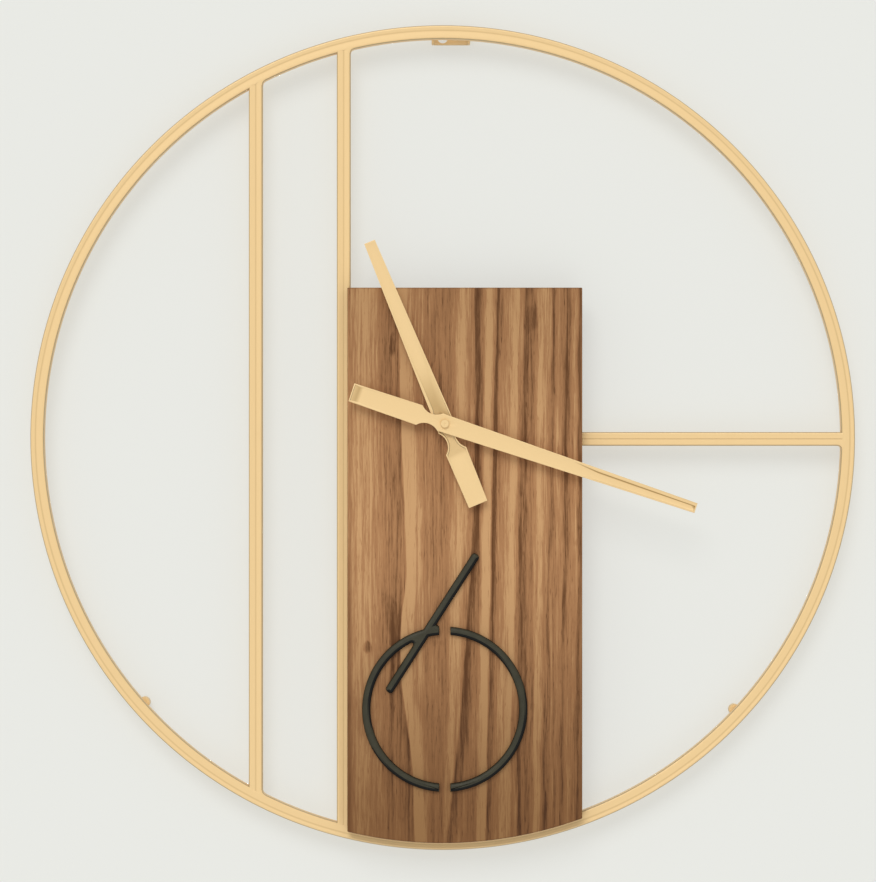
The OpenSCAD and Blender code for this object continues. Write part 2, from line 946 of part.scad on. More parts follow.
module centre_wheel() {
    color(brass)
        at_axis()
            difference() {
                slab(centre_f, centre_b)
                    wheel(centre_teeth, centre_module, third_dir);
                rod(arbor_d / 2 + seat_fit, centre_f - 1, centre_b + 1);
            }
}

module minute_arbor() {
    color(brass)
        at_axis()
            difference() {
                union() {
                    rod(arbor_d / 2, minute_hand_b, centre_b + 0.1);
                    rod(thread_r, nut_seat - 0.6 * hand_nut_h, minute_hand_b + 0.5);
                    slab(motion_f - pinion_over, motion_b + pinion_over)
                        pinion(minute_teeth, motion_module, 0);
                }
                rod(pivot_r + run_fit, centre_b - 1.5 - shoulder_play, centre_b + 1);
            }
}

module motion_wheel() {
    color(white_plastic)
        at_axis(motion_at)
            difference() {
                union() {
                    slab(motion_f, motion_b)
                        wheel(motion_teeth, motion_module, motion_turn);
                    slab(hour_f - pinion_over, motion_f + 0.2)
                        pinion(motion_pinion_teeth, hour_module, motion_dir + 180);
                }
                rod(spindle_r + run_fit, hour_f - 1, motion_b + 1);
            }
}

module hour_wheel() {
    turn = mesh_turn(motion_dir + 180, motion_pinion_teeth, motion_dir + 180, hour_teeth);
    color(white_plastic)
        at_axis()
            difference() {
                union() {
                    slab(hour_f, hour_b)
                        wheel(hour_teeth, hour_module, turn);
                    rod(hour_tube_d / 2, hour_tube_f, hour_b);
                }
                rod(arbor_d / 2 + run_fit, hour_tube_f - 1, hour_b + 1);
            }
}

module setting_knob() {
    turn = mesh_turn(knob_dir, motion_teeth, motion_turn, knob_teeth);
    knob_f = case_b + 0.2;
    grips = 24;
    color(case_black)
        at_axis(knob_at)
            difference() {
                union() {
                    slab(motion_f - pinion_over, motion_b + pinion_over)
                        pinion(knob_teeth, motion_module, turn);
                    rod(knob_stem_r, motion_f, case_b + knob_h);
                    rod(knob_d / 2, knob_f, case_b + knob_h);
                }
                for (i = [0 : grips - 1])
                    rotate([0, i * 360 / grips, 0])
                        translate([knob_d / 2 + 0.15, 0, 0])
                            rod(0.5, knob_f - 1, case_b + knob_h + 1, $fn = 24);
            }
}

// Outline of a hand that points up, drawn in by inset all round
module hand_outline(l, tail, root_w, tip_w, neck, shoulder, shoulder_w, end_w, inset) {
    half = [
        [tip_w / 2 - inset, l - inset], [root_w / 2 - inset, 0],
        [shoulder_w / 2 - inset, -shoulder], [end_w / 2 - inset, -tail + inset]
    ];
    difference() {
        polygon([
            for (i = [0 : 3]) half[i],
            for (i = [3 : -1 : 0]) [-half[i][0], half[i][1]]
        ]);
        for (side = [-1, 1])
            translate([side * (neck_w / 2 + neck_cut_r), -neck])
                circle(neck_cut_r + inset);
    }
}

module minute_outline(inset) {
    rotate(-minute_turn)
        hand_outline(minute_l, minute_tail, minute_root_w, minute_tip_w, minute_neck,
                     minute_shoulder, minute_shoulder_w, minute_end_w, inset);
}

module hour_outline(inset) {
    rotate(-hour_turn)
        hand_outline(hour_l, hour_tail, hour_root_w, hour_tip_w, hour_neck,
                     hour_shoulder, hour_shoulder_w, hour_end_w, inset);
}

module hour_hand() {
    color(gold)
        at_axis()
            difference() {
                slab(hour_hand_f, hour_hand_b)
                    hour_outline(0);
                slab(hour_hand_f - 1, hour_hand_b - hand_t)
                    hour_outline(hand_rim);
                rod(hour_tube_d / 2 + seat_fit, hour_hand_f - 1, hour_hand_b + 1);
            }
}

module minute_hand() {
    color(gold)
        at_axis()
            difference() {
                slab(minute_hand_f, minute_hand_b)
                    minute_outline(0);
                slab(minute_hand_f - 1, nut_seat)
                    minute_outline(hand_rim);
                rod(thread_r + seat_fit, minute_hand_f - 1, minute_hand_b + 1);
            }
}

// A round cap nut with a chamfered front
module hand_nut() {
    chamfer = 0.8;
    color(gold)
        at_axis()
            difference() {
                union() {
                    rod(hand_nut_d / 2, nut_seat - hand_nut_h + chamfer, nut_seat);
                    translate([0, nut_seat - hand_nut_h + chamfer, 0])
                        rotate([90, 0, 0])
                            cylinder(r1 = hand_nut_d / 2, r2 = hand_nut_d / 2 - chamfer, h = chamfer);
                }
                rod(thread_r + seat_fit, nut_seat - 0.7 * hand_nut_h, nut_seat + 1);
            }
}

ring_tube();
left_bar();
right_bar();
cross_bar();
hanger_bracket();
wall_pegs();
panel_tabs();
tab_screws();
cross_bar_screw();
wood_panel();
numeral_left();
numeral_right();
case_front();
case_back();
threaded_bush();
rubber_gasket();
bush_washer();
bush_nut();
battery();
contact_positive();
contact_negative();
circuit_board();
quartz_crystal();
motor_coil();
stator();
rotor();
intermediate_wheel();
second_wheel();
third_wheel();
mid_plate();
centre_wheel();
minute_arbor();
motion_wheel();
hour_wheel();
setting_knob();
hour_hand();
minute_hand();
hand_nut();
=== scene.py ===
from contextlib import contextmanager
from math import asin, atan2, cos, hypot, pi, radians, sin, sqrt

import bmesh
import bpy
from bpy.props import FloatProperty, FloatVectorProperty, PointerProperty
from mathutils import Matrix, Vector


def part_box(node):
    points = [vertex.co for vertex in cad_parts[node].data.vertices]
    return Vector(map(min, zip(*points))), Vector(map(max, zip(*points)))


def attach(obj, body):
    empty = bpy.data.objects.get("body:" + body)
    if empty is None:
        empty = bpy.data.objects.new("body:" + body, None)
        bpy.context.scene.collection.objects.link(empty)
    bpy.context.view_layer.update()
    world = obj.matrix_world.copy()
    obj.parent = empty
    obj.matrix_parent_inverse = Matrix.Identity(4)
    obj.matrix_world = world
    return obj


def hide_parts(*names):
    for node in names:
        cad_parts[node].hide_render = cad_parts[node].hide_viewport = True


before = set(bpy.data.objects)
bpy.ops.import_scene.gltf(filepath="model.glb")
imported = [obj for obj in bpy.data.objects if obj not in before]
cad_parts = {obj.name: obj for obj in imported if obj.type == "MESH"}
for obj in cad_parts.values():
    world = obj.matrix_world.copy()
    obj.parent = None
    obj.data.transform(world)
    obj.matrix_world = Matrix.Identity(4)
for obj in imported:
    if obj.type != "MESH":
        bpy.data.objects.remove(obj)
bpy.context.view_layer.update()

bl_info = {
    "name": "Open ring wall clock",
    "version": (1, 0, 0),
    "blender": (4, 5, 0),
    "location": "3D View > Sidebar > Clock",
    "description": "Dresses a round gold tube clock with a walnut panel, two hands and a quartz movement",
    "category": "Object",
}


def axis_of(low, high):
    """Where an axis along Y runs through the middle of a box."""
    return Vector(((low.x + high.x) / 2, 0, (low.z + high.z) / 2))


RING_LO, RING_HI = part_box("ring_tube")
LEFT_LO, LEFT_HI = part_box("left_bar")
RIGHT_LO, RIGHT_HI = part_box("right_bar")
CROSS_LO, CROSS_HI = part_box("cross_bar")
PANEL_LO, PANEL_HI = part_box("wood_panel")
NUT_LO, NUT_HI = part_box("hand_nut")
CASE_LO, CASE_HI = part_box("case_front")
COVER_LO, COVER_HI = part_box("case_back")
MM = 0.001
NEAR = 0.01 * MM
RING_R = (RING_HI.z - RING_LO.z) / 2
RING_Z = (RING_HI.z + RING_LO.z) / 2
TUBE_W = LEFT_HI.x - LEFT_LO.x
FRONT = RING_LO.y
BACK = RING_HI.y
RING_IN = RING_R - TUBE_W
HUB = axis_of(NUT_LO, NUT_HI)
CENTRE = Vector((0, 0, RING_Z))
FACE = PANEL_LO.y
ALONG_Y = (0, 1, 0)


# Sizes and colours

def length(name, description, default):
    """A size that a user may change."""
    return FloatProperty(name=name, description=description, default=default,
                         min=0, unit="LENGTH", precision=5)


def colour(name, description, default):
    """A colour that a user may change."""
    return FloatVectorProperty(name=name, description=description, default=(*default, 1), size=4,
                               min=0, max=1, subtype="COLOR")


def number(name, description, default):
    """A plain number that a user may change."""
    return FloatProperty(name=name, description=description, default=default, min=0)


class ClockSizes(bpy.types.PropertyGroup):
    """Sizes of the edges, rims and dishes."""
    tube_round: length("Tube corners", "Radius of the tube's corners", 1.5 * MM)
    valley: length("Valley", "Depth of the shallow valley along the tube's front", 0.16 * MM)
    groove: length("Groove width", "Width of the fine groove along the side bar's valley", 0.9 * MM)
    groove_depth: length("Groove depth", "Depth of the fine groove below the valley", 0.3 * MM)
    trough: length("Trough width", "Width of the soft trough along the ring and the uprights", 3.4 * MM)
    trough_depth: length("Trough depth", "Depth of the soft trough below the valley", 0.26 * MM)
    trough_aside: length("Trough aside", "How far the ring's trough lies outside the tube's middle", 1.2 * MM)
    weld_leg: length("Weld fillet", "Length of the ground weld in each open corner", 2.4 * MM)
    panel_round: length("Panel edges", "Radius of the panel's edges", 0.8 * MM)
    stroke_round: length("Numeral edges", "Radius of the numeral's front edges", 2.2 * MM)
    hand_rim: length("Hand rim", "Width of the hands' raised rim", 0.8 * MM)
    hand_sheet: length("Hand sheet", "Thickness of the hands' sheet", 0.6 * MM)
    hand_slope: length("Hand slope", "Width of each slope inside the hands' rim", 0.4 * MM)
    hand_step: length("Hand step", "Depth of the steep slope inside the hands' rim", 0.45 * MM)
    hand_end: length("Hand end slope", "Length of the slope at the ends of the hands", 4.5 * MM)
    case_round: length("Case corners", "Radius of the movement case's corners", 4 * MM)


class ClockColours(bpy.types.PropertyGroup):
    """Colours of the finishes."""
    gold: colour("Gold paint", "Satin gold paint of the frame and hands", (0.845, 0.598, 0.288))
    gold_shade: colour("Gold shade", "Gold paint in its thin places", (0.74, 0.50, 0.22))
    # Painted shade in the hands' dishes and the tubes' troughs
    gold_hollow_shade: colour("Gold in hollows", "Gold paint at the bottom of the hands' dishes", (0.50, 0.32, 0.12))
    # Painted shadow along the crease by a hand's wider rim
    gold_crease_shade: colour("Gold in the crease", "Gold paint in a hand's crease", (0.38, 0.21, 0.045))
    # Painted shade: the darker gold on the tube's rounded corners
    gold_corner_shade: colour("Gold edges", "Gold paint worn thin on the tube's corners", (0.36, 0.27, 0.15))
    walnut_light: colour("Walnut light", "Light wood between the streaks", (0.58, 0.332, 0.151))
    walnut_mid: colour("Walnut middle", "Main colour of the wood", (0.405, 0.198, 0.083))
    walnut_dark: colour("Walnut dark", "Dark streaks of the wood", (0.130, 0.050, 0.014))
    walnut_foot: colour("Walnut foot", "Share of each colour left at the panel's foot", (0.49, 0.44, 0.36))
    numeral_face: colour("Numeral face", "Front of the numeral", (0.042, 0.039, 0.022))
    # The same black is painted on the numeral's lower and right-facing faces as painted shade
    numeral_side: colour("Numeral side", "Sides of the numeral", (0.003, 0.003, 0.0025))
    plastic: colour("Case plastic", "Plastic of the movement's case", (0.020, 0.020, 0.022))
    moving_plastic: colour("Wheel plastic", "Plastic of the train's wheels", (0.76, 0.75, 0.70))
    brass: colour("Brass", "Turned brass", (0.78, 0.55, 0.22))
    steel: colour("Zinc", "Zinc plated steel", (0.60, 0.60, 0.58))
    motor_steel: colour("Motor steel", "Plain steel of the motor", (0.42, 0.42, 0.43))
    nickel: colour("Nickel", "Nickel plated contacts", (0.66, 0.65, 0.62))
    rubber: colour("Rubber", "Rubber of the gasket", (0.016, 0.016, 0.017))
    wrap: colour("Battery wrap", "Main colour of the battery's wrap", (0.045, 0.20, 0.115))
    wrap_band: colour("Battery band", "Band at the battery's positive end", (0.62, 0.63, 0.62))
    board: colour("Board", "Solder resist of the circuit board", (0.020, 0.16, 0.075))
    copper: colour("Copper", "Enamelled wire of the coil", (0.56, 0.20, 0.07))


class ClockStage(bpy.types.PropertyGroup):
    """Backdrop, light and camera."""
    wall: colour("Wall", "Colour of the backdrop", (0.806, 0.813, 0.775))
    sky_high: number("Sky above", "Strength of the even light from above", 0.66)
    sky_low: number("Sky below", "Strength of the even light from below", 0.71)
    key: number("Key lamp", "Strength of the soft far lamp above", 1.10)
    fill: number("Fill lamp", "Strength of the soft far lamp below", 0.26)
    glow: number("Wall glow", "Share of the wall's colour that shows without light or shadow", 0.57)
    back: number("Back lamp", "Strength of the soft far lamp behind", 1.0)
    sky_behind: number("Sky behind", "Share of the even light that comes from behind", 0.8)
    lens: number("Lens", "Focal length of the camera, in millimetres", 133.6)
    distance: length("Distance", "Distance of the camera from the wall", 2.4)


# Modelling steps

def rest():
    """Leave edit mode with nothing selected."""
    if bpy.context.mode != "OBJECT":
        bpy.ops.object.mode_set(mode="OBJECT")
    bpy.ops.object.select_all(action="DESELECT")


def take(obj):
    """Make one object the only selected and active one."""
    rest()
    obj.select_set(True)
    bpy.context.view_layer.objects.active = obj


def named(obj, name):
    """Name an object and its mesh."""
    obj.name = name
    obj.data.name = name
    return obj


def fresh(name):
    """Name what was just added, with its place put into its mesh."""
    bpy.ops.object.transform_apply(location=True, rotation=True, scale=True)
    return named(bpy.context.object, name)


@contextmanager
def editing(obj, kind="FACE"):
    """Edit mode on one object with nothing selected in its mesh."""
    take(obj)
    bpy.ops.object.mode_set(mode="EDIT")
    bpy.ops.mesh.select_mode(type=kind)
    bpy.ops.mesh.select_all(action="DESELECT")
    yield
    bpy.ops.object.mode_set(mode="OBJECT")


def everything():
    """Select the whole mesh, in edit mode."""
    bpy.ops.mesh.select_all(action="SELECT")


def pick(obj, kind, test):
    """Select the corners, edges or faces whose place and direction pass a test."""
    mesh = bmesh.from_edit_mesh(obj.data)
    bpy.ops.mesh.select_all(action="DESELECT")
    if kind == "VERT":
        facts = [(v, (v.co,)) for v in mesh.verts]
    elif kind == "EDGE":
        ends = [(e, e.verts[0].co, e.verts[1].co) for e in mesh.edges]
        facts = [(e, ((a + b) / 2, (b - a).normalized())) for e, a, b in ends]
    else:
        facts = [(f, (f.calc_center_median(), f.normal)) for f in mesh.faces]
    found = [item for item, values in facts if test(*values)]
    if not found:
        raise RuntimeError(f"{obj.name}: nothing to select")
    for item in found:
        item.select_set(True)
    mesh.select_flush_mode()
    bmesh.update_edit_mesh(obj.data)


def shift(obj, test, value):
    """Move the corners that pass a test, in edit mode."""
    pick(obj, "VERT", test)
    bpy.ops.transform.translate(value=value)


def outward():
    """Turn all faces outwards, in edit mode."""
    everything()
    bpy.ops.mesh.normals_make_consistent(inside=False)


def outline(name, points, filled=True):
    """A line through the points, drawn by extruding one corner, and closed by a face."""
    points = [Vector(p) for p in points]
    rest()
    bpy.ops.mesh.primitive_plane_add(size=MM, location=points[0])
    obj = fresh(name)
    with editing(obj, "VERT"):
        everything()
        bpy.ops.mesh.merge(type="CENTER")
        for a, b in zip(points, points[1:]):
            bpy.ops.mesh.extrude_vertices_move(TRANSFORM_OT_translate={"value": b - a})
        if filled:
            everything()
            bpy.ops.mesh.edge_face_add()
    return obj


def thicken(obj, along):
    """Pull a flat face into a solid."""
    with editing(obj):
        everything()
        bpy.ops.mesh.extrude_region_move(TRANSFORM_OT_translate={"value": along})
        outward()
    return obj


def whirl(obj, centre, axis=ALONG_Y, steps=64):
    """Turn an outline about an axis into a round solid."""
    with editing(obj, "EDGE"):
        everything()
        if obj.data.polygons:
            bpy.ops.mesh.delete(type="ONLY_FACE")
            everything()
        bpy.ops.mesh.spin(steps=steps, angle=2 * pi, center=centre, axis=axis)
        everything()
        bpy.ops.mesh.remove_doubles(threshold=0.1 * NEAR)
        outward()
    return obj


def turned(name, section, centre, steps=64):
    """A round piece along Y through a centre, from (radius, depth) corners that start and end on the axis."""
    points = [(centre.x + r, y, centre.z) for r, y in section]
    closed = section[0][0] > 0
    return whirl(outline(name, points, closed), (centre.x, 0, centre.z), steps=steps)


def block(name, low, high):
    """A box between two corners."""
    rest()
    low = Vector(low)
    high = Vector(high)
    bpy.ops.mesh.primitive_cube_add(size=1, location=(low + high) / 2, scale=high - low)
    return fresh(name)


def rod(name, radius, front, back, x, z, sides=64):
    """A round rod along Y between two depths."""
    rest()
    bpy.ops.mesh.primitive_cylinder_add(vertices=sides, radius=radius, depth=back - front,
                                        location=(x, (front + back) / 2, z), rotation=(pi / 2, 0, 0))
    return fresh(name)


def rounded_slab(name, low, high, radius, segments=6):
    """A box whose four edges along Y are rounded."""
    obj = block(name, low, high)
    with editing(obj, "EDGE"):
        pick(obj, "EDGE", lambda mid, way: abs(way.y) > 0.99)
        bpy.ops.mesh.bevel(offset=radius, segments=segments, affect="EDGES")
    return obj


def change(obj, kind, **settings):
    """Add a modifier with its settings and apply it."""
    take(obj)
    added = obj.modifiers.new(kind.lower(), kind)
    for key, value in settings.items():
        setattr(added, key, value)
    bpy.ops.object.modifier_apply(modifier=added.name)
    return obj


def combine(obj, tool, operation="DIFFERENCE"):
    """Cut one solid with another, or join or cross them."""
    change(obj, "BOOLEAN", operation=operation, solver="EXACT", object=tool)
    bpy.data.objects.remove(tool)
    return obj


def round_edges(obj, width, segments=3, angle=35):
    """Round all edges that are sharper than an angle."""
    return change(obj, "BEVEL", width=width, segments=segments,
                  limit_method="ANGLE", angle_limit=radians(angle))


def clear_slivers(obj):
    """Dissolve faces that have no area."""
    with editing(obj):
        everything()
        bpy.ops.mesh.dissolve_degenerate(threshold=0.2 * NEAR)
    return obj


def even_shading(obj):
    """Let the large faces lead the shading over the rounded edges."""
    return change(obj, "WEIGHTED_NORMAL", keep_sharp=True)


def join(pieces, name):
    """Several meshes as one object."""
    rest()
    for piece in pieces:
        piece.select_set(True)
    bpy.context.view_layer.objects.active = pieces[0]
    bpy.ops.object.join()
    return named(pieces[0], name)


def place(obj, matrix):
    """Move a finished mesh and leave its object at the origin."""
    take(obj)
    obj.matrix_world = matrix
    bpy.ops.object.transform_apply(location=True, rotation=True, scale=True)
    return obj


def copies(model, places):
    """Copies of a piece with their own meshes, put in place by matrices, in the piece's stead."""
    made = []
    for matrix in places:
        take(model)
        bpy.ops.object.duplicate(linked=False)
        made.append(place(bpy.context.object, matrix))
    bpy.data.objects.remove(model)
    return made


def merged(node, name):
    """A copy of a solid with its doubles merged and its flats whole."""
    take(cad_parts[node])
    bpy.ops.object.duplicate(linked=False)
    obj = named(bpy.context.object, name)
    obj.parent = None
    for key in list(obj.keys()):
        if key.startswith("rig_"):
            del obj[key]
    with editing(obj):
        everything()
        bpy.ops.mesh.remove_doubles(threshold=0.1 * NEAR)
        everything()
        bpy.ops.mesh.dissolve_limited(angle_limit=radians(1))
    return obj


def polish(node, name, width):
    """A merged copy of a solid with its edges rounded."""
    return round_edges(merged(node, name), width, 2)


def seat(obj, body, slot, *nodes, angle=35):
    """Shade and paint a finished piece, and let it ride with its body in place of its solids."""
    take(obj)
    bpy.ops.object.shade_smooth_by_angle(angle=radians(angle))
    obj.data.materials.clear()
    obj.data.materials.append(finish(slot))
    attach(obj, body)
    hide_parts(*nodes)
    return obj


# Finishes

class Wire:
    """An output of a finish's nodes that can stand in Python sums."""

    def __init__(self, owner, socket):
        self.owner = owner
        self.socket = socket

    def math(self, operation, *values):
        return self.owner.node("ShaderNodeMath", {"operation": operation}, dict(enumerate(values)))

    def __add__(self, other):
        return self.math("ADD", self, other)

    def __radd__(self, other):
        return self.math("ADD", other, self)

    def __sub__(self, other):
        return self.math("SUBTRACT", self, other)

    def __rsub__(self, other):
        return self.math("SUBTRACT", other, self)

    def __mul__(self, other):
        return self.math("MULTIPLY", self, other)

    def __rmul__(self, other):
        return self.math("MULTIPLY", other, self)

    def __truediv__(self, other):
        return self.math("DIVIDE", self, other)

    def __pow__(self, other):
        return self.math("POWER", self, other)

    def __abs__(self):
        return self.math("ABSOLUTE", self)


class Tree:
    """A node tree and the one way of adding nodes to it."""

    def __init__(self, tree):
        self.tree = tree

    def node(self, kind, settings=None, inputs=None, out=0):
        """Add any node: its settings first, then its sockets' values or links."""
        made = self.tree.nodes.new(kind)
        for key, value in (settings or {}).items():
            setattr(made, key, value)
        for key, value in (inputs or {}).items():
            self.feed(made.inputs[key], value)
        return Wire(self, made.outputs[out])

    def feed(self, socket, value):
        if isinstance(value, Wire):
            self.tree.links.new(value.socket, socket)
        else:
            socket.default_value = value

    def band(self, value, low, high, start=0, end=1):
        """Smooth step from start to end as a value goes from low to high."""
        return self.node("ShaderNodeMapRange", {"interpolation_type": "SMOOTHSTEP"}, {
            "Value": value, "From Min": low, "From Max": high, "To Min": start, "To Max": end})

    def split(self, vector):
        """The three parts of a vector."""
        made = self.tree.nodes.new("ShaderNodeSeparateXYZ")
        self.feed(made.inputs[0], vector)
        return [Wire(self, out) for out in made.outputs]


class Finish(Tree):
    """A procedural material and the nodes that make it."""

    def __init__(self, name, **fixed):
        self.material = bpy.data.materials.new(name)
        self.material.use_nodes = True
        super().__init__(self.material.node_tree)
        self.tree.nodes.clear()
        self.shader = self.tree.nodes.new("ShaderNodeBsdfPrincipled")
        self.output = self.tree.nodes.new("ShaderNodeOutputMaterial")
        self.tree.links.new(self.shader.outputs[0], self.output.inputs[0])
        self.coords = self.node("ShaderNodeTexCoord", out="Object")
        for key, value in fixed.items():
            self.set(key.replace("_", " ").title().replace("Ior", "IOR"), value)

    def set(self, name, value):
        self.feed(self.shader.inputs[name], value)

    def at(self, stretch=(1, 1, 1)):
        """Place on the piece in millimetres, stretched."""
        scale = [s / MM for s in stretch]
        return self.node("ShaderNodeMapping", None, {"Vector": self.coords, "Scale": scale})

    def axes(self):
        """X, Y and Z on the piece in millimetres."""
        return self.split(self.at())

    def vector(self, x, y, z):
        return self.node("ShaderNodeCombineXYZ", None, {0: x, 1: y, 2: z})

    def noise(self, where, scale=1, detail=2, rough=0.5, warp=0):
        """Cloudy pattern from 0 to 1."""
        return self.node("ShaderNodeTexNoise", None, {
            "Vector": where, "Scale": scale, "Detail": detail, "Roughness": rough, "Distortion": warp})

    def mix(self, share, first, second, blend="MIX"):
        """One colour into another, or multiplied by it."""
        settings = {"data_type": "RGBA", "blend_type": blend}
        return self.node("ShaderNodeMix", settings, {0: share, 6: first, 7: second}, 2)

    def bump(self, height, strength, distance):
        self.set("Normal", self.node("ShaderNodeBump", None, {
            "Strength": strength, "Distance": distance, "Height": height}))


def tint(name):
    """A colour from the sidebar as plain numbers."""
    return tuple(getattr(bpy.context.scene.clock_colours, name))


def shaded(base, share):
    """A colour made darker or lighter by a share."""
    return [min(1, share * c) for c in base[:3]] + [1]


def gold_paint(name):
    """Satin gold paint with fine orange peel and random thin places, and painted shade on the tube's corners,
    in the troughs and in the hands' dishes and creases.
    """
    f = Finish(name, metallic=0.12, coat_roughness=0.25)
    cloud = f.noise(f.at(), 0.035, 3, 0.55)
    fleck = f.noise(f.at(), 2.6, 2, 0.6)
    thin = f.band(cloud, 0.50, 0.85, 0, 0.16) + f.band(fleck, 0.45, 0.8, 0, 0.10)
    facing = f.split(f.node("ShaderNodeNewGeometry", out="Normal"))[1]
    # Painted shade: faces that turn sideways, the tube's rounded corners, take a darker gold
    corner_shade = f.band(facing, -0.93, -0.68) * f.band(facing, -0.30, -0.05, 1, 0)
    hollow = f.node("ShaderNodeAttribute", {"attribute_name": "hollow"}, out="Fac")
    tone = f.mix(thin, tint("gold"), tint("gold_shade"))
    # Painted shade: darker gold at the bottom of the hands' dishes and in the tubes' troughs
    tone = f.mix(f.band(hollow, 0.25, 1.0, 0, 0.75), tone, tint("gold_hollow_shade"))
    # Painted shadow: a dark gold line along the crease by the wider rim, strongest on the minute hand
    tone = f.mix(f.band(hollow, 0.8, 1.8), tone, tint("gold_crease_shade"))
    f.set("Base Color", f.mix(corner_shade * (0.55 + 0.40 * fleck), tone, tint("gold_corner_shade")))
    f.set("Roughness", 0.40 + 0.16 * f.noise(f.at(), 0.35, 3))
    f.set("Coat Weight", f.band(cloud, 0.3, 0.7, 0.06, 0.14))
    f.bump(f.noise(f.at(), 0.7, 2, 0.5), 0.04, 0.1 * MM)
    return f


# Grain of the panel, in millimetres: place at the top edge, drift and bow on the way down,
# width of its left and right flank, and strength, which is above zero where the wood is darker
GRAIN = (
    (24.3, 0.0233, -0.000187, 2.2, 9.0, 0.85),
    (40.0, -0.021, 0, 1.8, 4.6, 0.66),
    (60.3, -0.030, 0.00004, 2.0, 11.0, 0.50),
    (80.8, -0.019, 0, 2.6, 4.2, 0.50),
    (91.2, -0.016, 0, 2.2, 3.6, 0.56),
    (99.5, -0.005, 0, 3.0, 3.0, 0.50),
    (-1.0, -0.012, 0, 15.0, 12.0, 0.26),
    (-41.0, 0.010, 0, 12.0, 6.0, 0.18),
    (34.0, -0.012, 0, 7.0, 4.0, -0.80),
    (54.0, -0.020, 0, 10.0, 4.0, -0.60),
    (72.0, -0.012, 0, 5.0, 6.0, -0.45),
    (14.5, -0.024, 0, 7.0, 8.0, -0.50),
    (-56.0, 0, 0, 12.0, 14.0, -0.45),
)
# Small knots of the panel: X, Z, half width and half height in millimetres, and strength
KNOTS = (
    (65.0, -206, 4.5, 11, 0.28),
    (-36.5, -226, 2.2, 9, 0.60),
    (-54.5, -444, 3.0, 4.0, 0.80),
    (-38.0, -431, 13, 24, 0.30),
)


def walnut(name):
    """Lacquered walnut with upright grain, named dark and light streaks, pores and a few knots."""
    f = Finish(name, coat_weight=0.02, coat_roughness=0.3, specular_ior_level=0.16)
    x, y, z = f.axes()
    top = PANEL_HI.z / MM
    left = PANEL_LO.x / MM
    right = PANEL_HI.x / MM
    face = PANEL_LO.y / MM
    down = top - z
    across = x + (f.noise(f.vector(x * 0.03, y * 0.03, z * 0.014), 1, 2) - 0.5) * 3.0
    lines = f.noise(f.vector(across * 0.36, y * 0.3, z * 0.0028), 1, 3, 0.62)
    fibre = f.noise(f.vector(across * 0.62, y * 0.8, z * 0.028), 1, 4, 0.74)
    pores = f.band(f.noise(f.vector(x * 1.5, y * 1.5, z * 0.11), 1, 1), 0.40, 0.28)
    shade = (0.5 - lines) * 1.3 + (0.5 - fibre) * 2.3 + pores * 0.38
    for spot, drift, bow, rise, fall, strength in GRAIN:
        off = across - spot - down * drift
        if bow:
            off = off - down * down * bow
        shade = shade + f.band(off, -rise, 0) * f.band(off, 0, fall, strength, 0)
    # The winding streak left of the middle: a dark line with light wood on its right
    curl = f.band(down, 200, 262, 0, -6.3) * f.band(down, 275, 350, 1, 0)
    off = across + 34 - down * 0.033 - curl
    shade = shade + f.band(off, -11, 0) * f.band(off, 0, 1.4, 0.42, 0)
    shade = shade + f.band(off, 0.4, 1.8) * f.band(off, 4, 15, -0.75, 0)
    fray = (f.noise(f.vector(x * 0.45, y * 0.5, z * 0.16), 1, 3) - 0.5) * 2.6
    for kx, kz, wide, high, strength in KNOTS:
        spread = ((x - kx) / wide) ** 2 + ((z - kz) / high) ** 2
        shade = shade + f.band(spread + fray, 1.7, 0, 0, strength)
    # The edges, darker than the face: left and right, top, foot and sides
    rise = z - RING_Z / MM
    reach = (x * x + rise * rise) ** 0.5
    foot = (RING_Z - PANEL_LO.z) / MM
    edge = f.band(x, left + 6, left + 0.5) * f.band(down, 40, 330, 0.10, 0.80)
    edge = edge + f.band(x, right - 3.5, right - 0.6, 0, 0.6) + f.band(down, 1.7, 0.5, 0, 0.5)
    edge = edge + f.band(reach, foot - 2, foot - 0.5, 0, 0.35) + f.band(y, face + 0.25, face + 1.0)
    tone = f.mix(f.band(shade, 0.05, -0.62), tint("walnut_mid"), tint("walnut_light"))
    tone = f.mix(f.band(shade, 0, 1.0), tone, tint("walnut_dark"))
    dim = f.band(down, 170, 405) + f.band(down, 150, 0, 0, 0.38)
    tone = f.mix(dim, tone, tint("walnut_foot"), "MULTIPLY")
    f.set("Base Color", f.mix(f.band(edge, 0, 1, 0, 0.65), tone, tint("walnut_dark")))
    f.set("Roughness", 0.44 + 0.14 * fibre)
    f.bump(fibre * 0.5 - pores * 0.7, 0.22, 0.12 * MM)
    return f


def numeral_black(name):
    """Dark olive face and black sides, with painted shade: the faces that look down and to the right are
    black too.
    """
    f = Finish(name, specular_ior_level=0.25)
    y = f.axes()[1]
    front = STROKE_FRONT / MM
    # Painted shade: faces that look down and to the right take the black of the sides
    lower = f.band(f.node("ShaderNodeAttribute", {"attribute_name": "lower_side"}, out="Fac"), 0.02, 0.16)
    side = f.band(f.band(y, front + 0.9, front + 1.6) + lower, 0, 1)
    cloud = f.noise(f.at(), 0.12, 3, 0.6)
    base = tint("numeral_face")
    face = f.mix(f.band(cloud, 0.35, 0.7), base, shaded(base, 0.8))
    f.set("Base Color", f.mix(side, face, tint("numeral_side")))
    f.set("Roughness", 0.42 + 0.12 * cloud + 0.2 * side)
    f.bump(f.noise(f.at(), 5, 2), 0.12, 0.06 * MM)
    return f


def moulded(tone, grain, rough, depth):
    """A maker of moulded plastic or rubber with a fine eroded grain."""
    def make(name):
        f = Finish(name)
        cloud = f.noise(f.at(), 0.16, 3)
        fine = f.noise(f.at(), grain, 3, 0.7)
        base = tint(tone)
        f.set("Base Color", f.mix(f.band(cloud, 0.3, 0.7), base, shaded(base, 1.25)))
        f.set("Roughness", rough + 0.16 * fine)
        f.bump(fine, depth, 0.1 * MM)
        return f
    return make


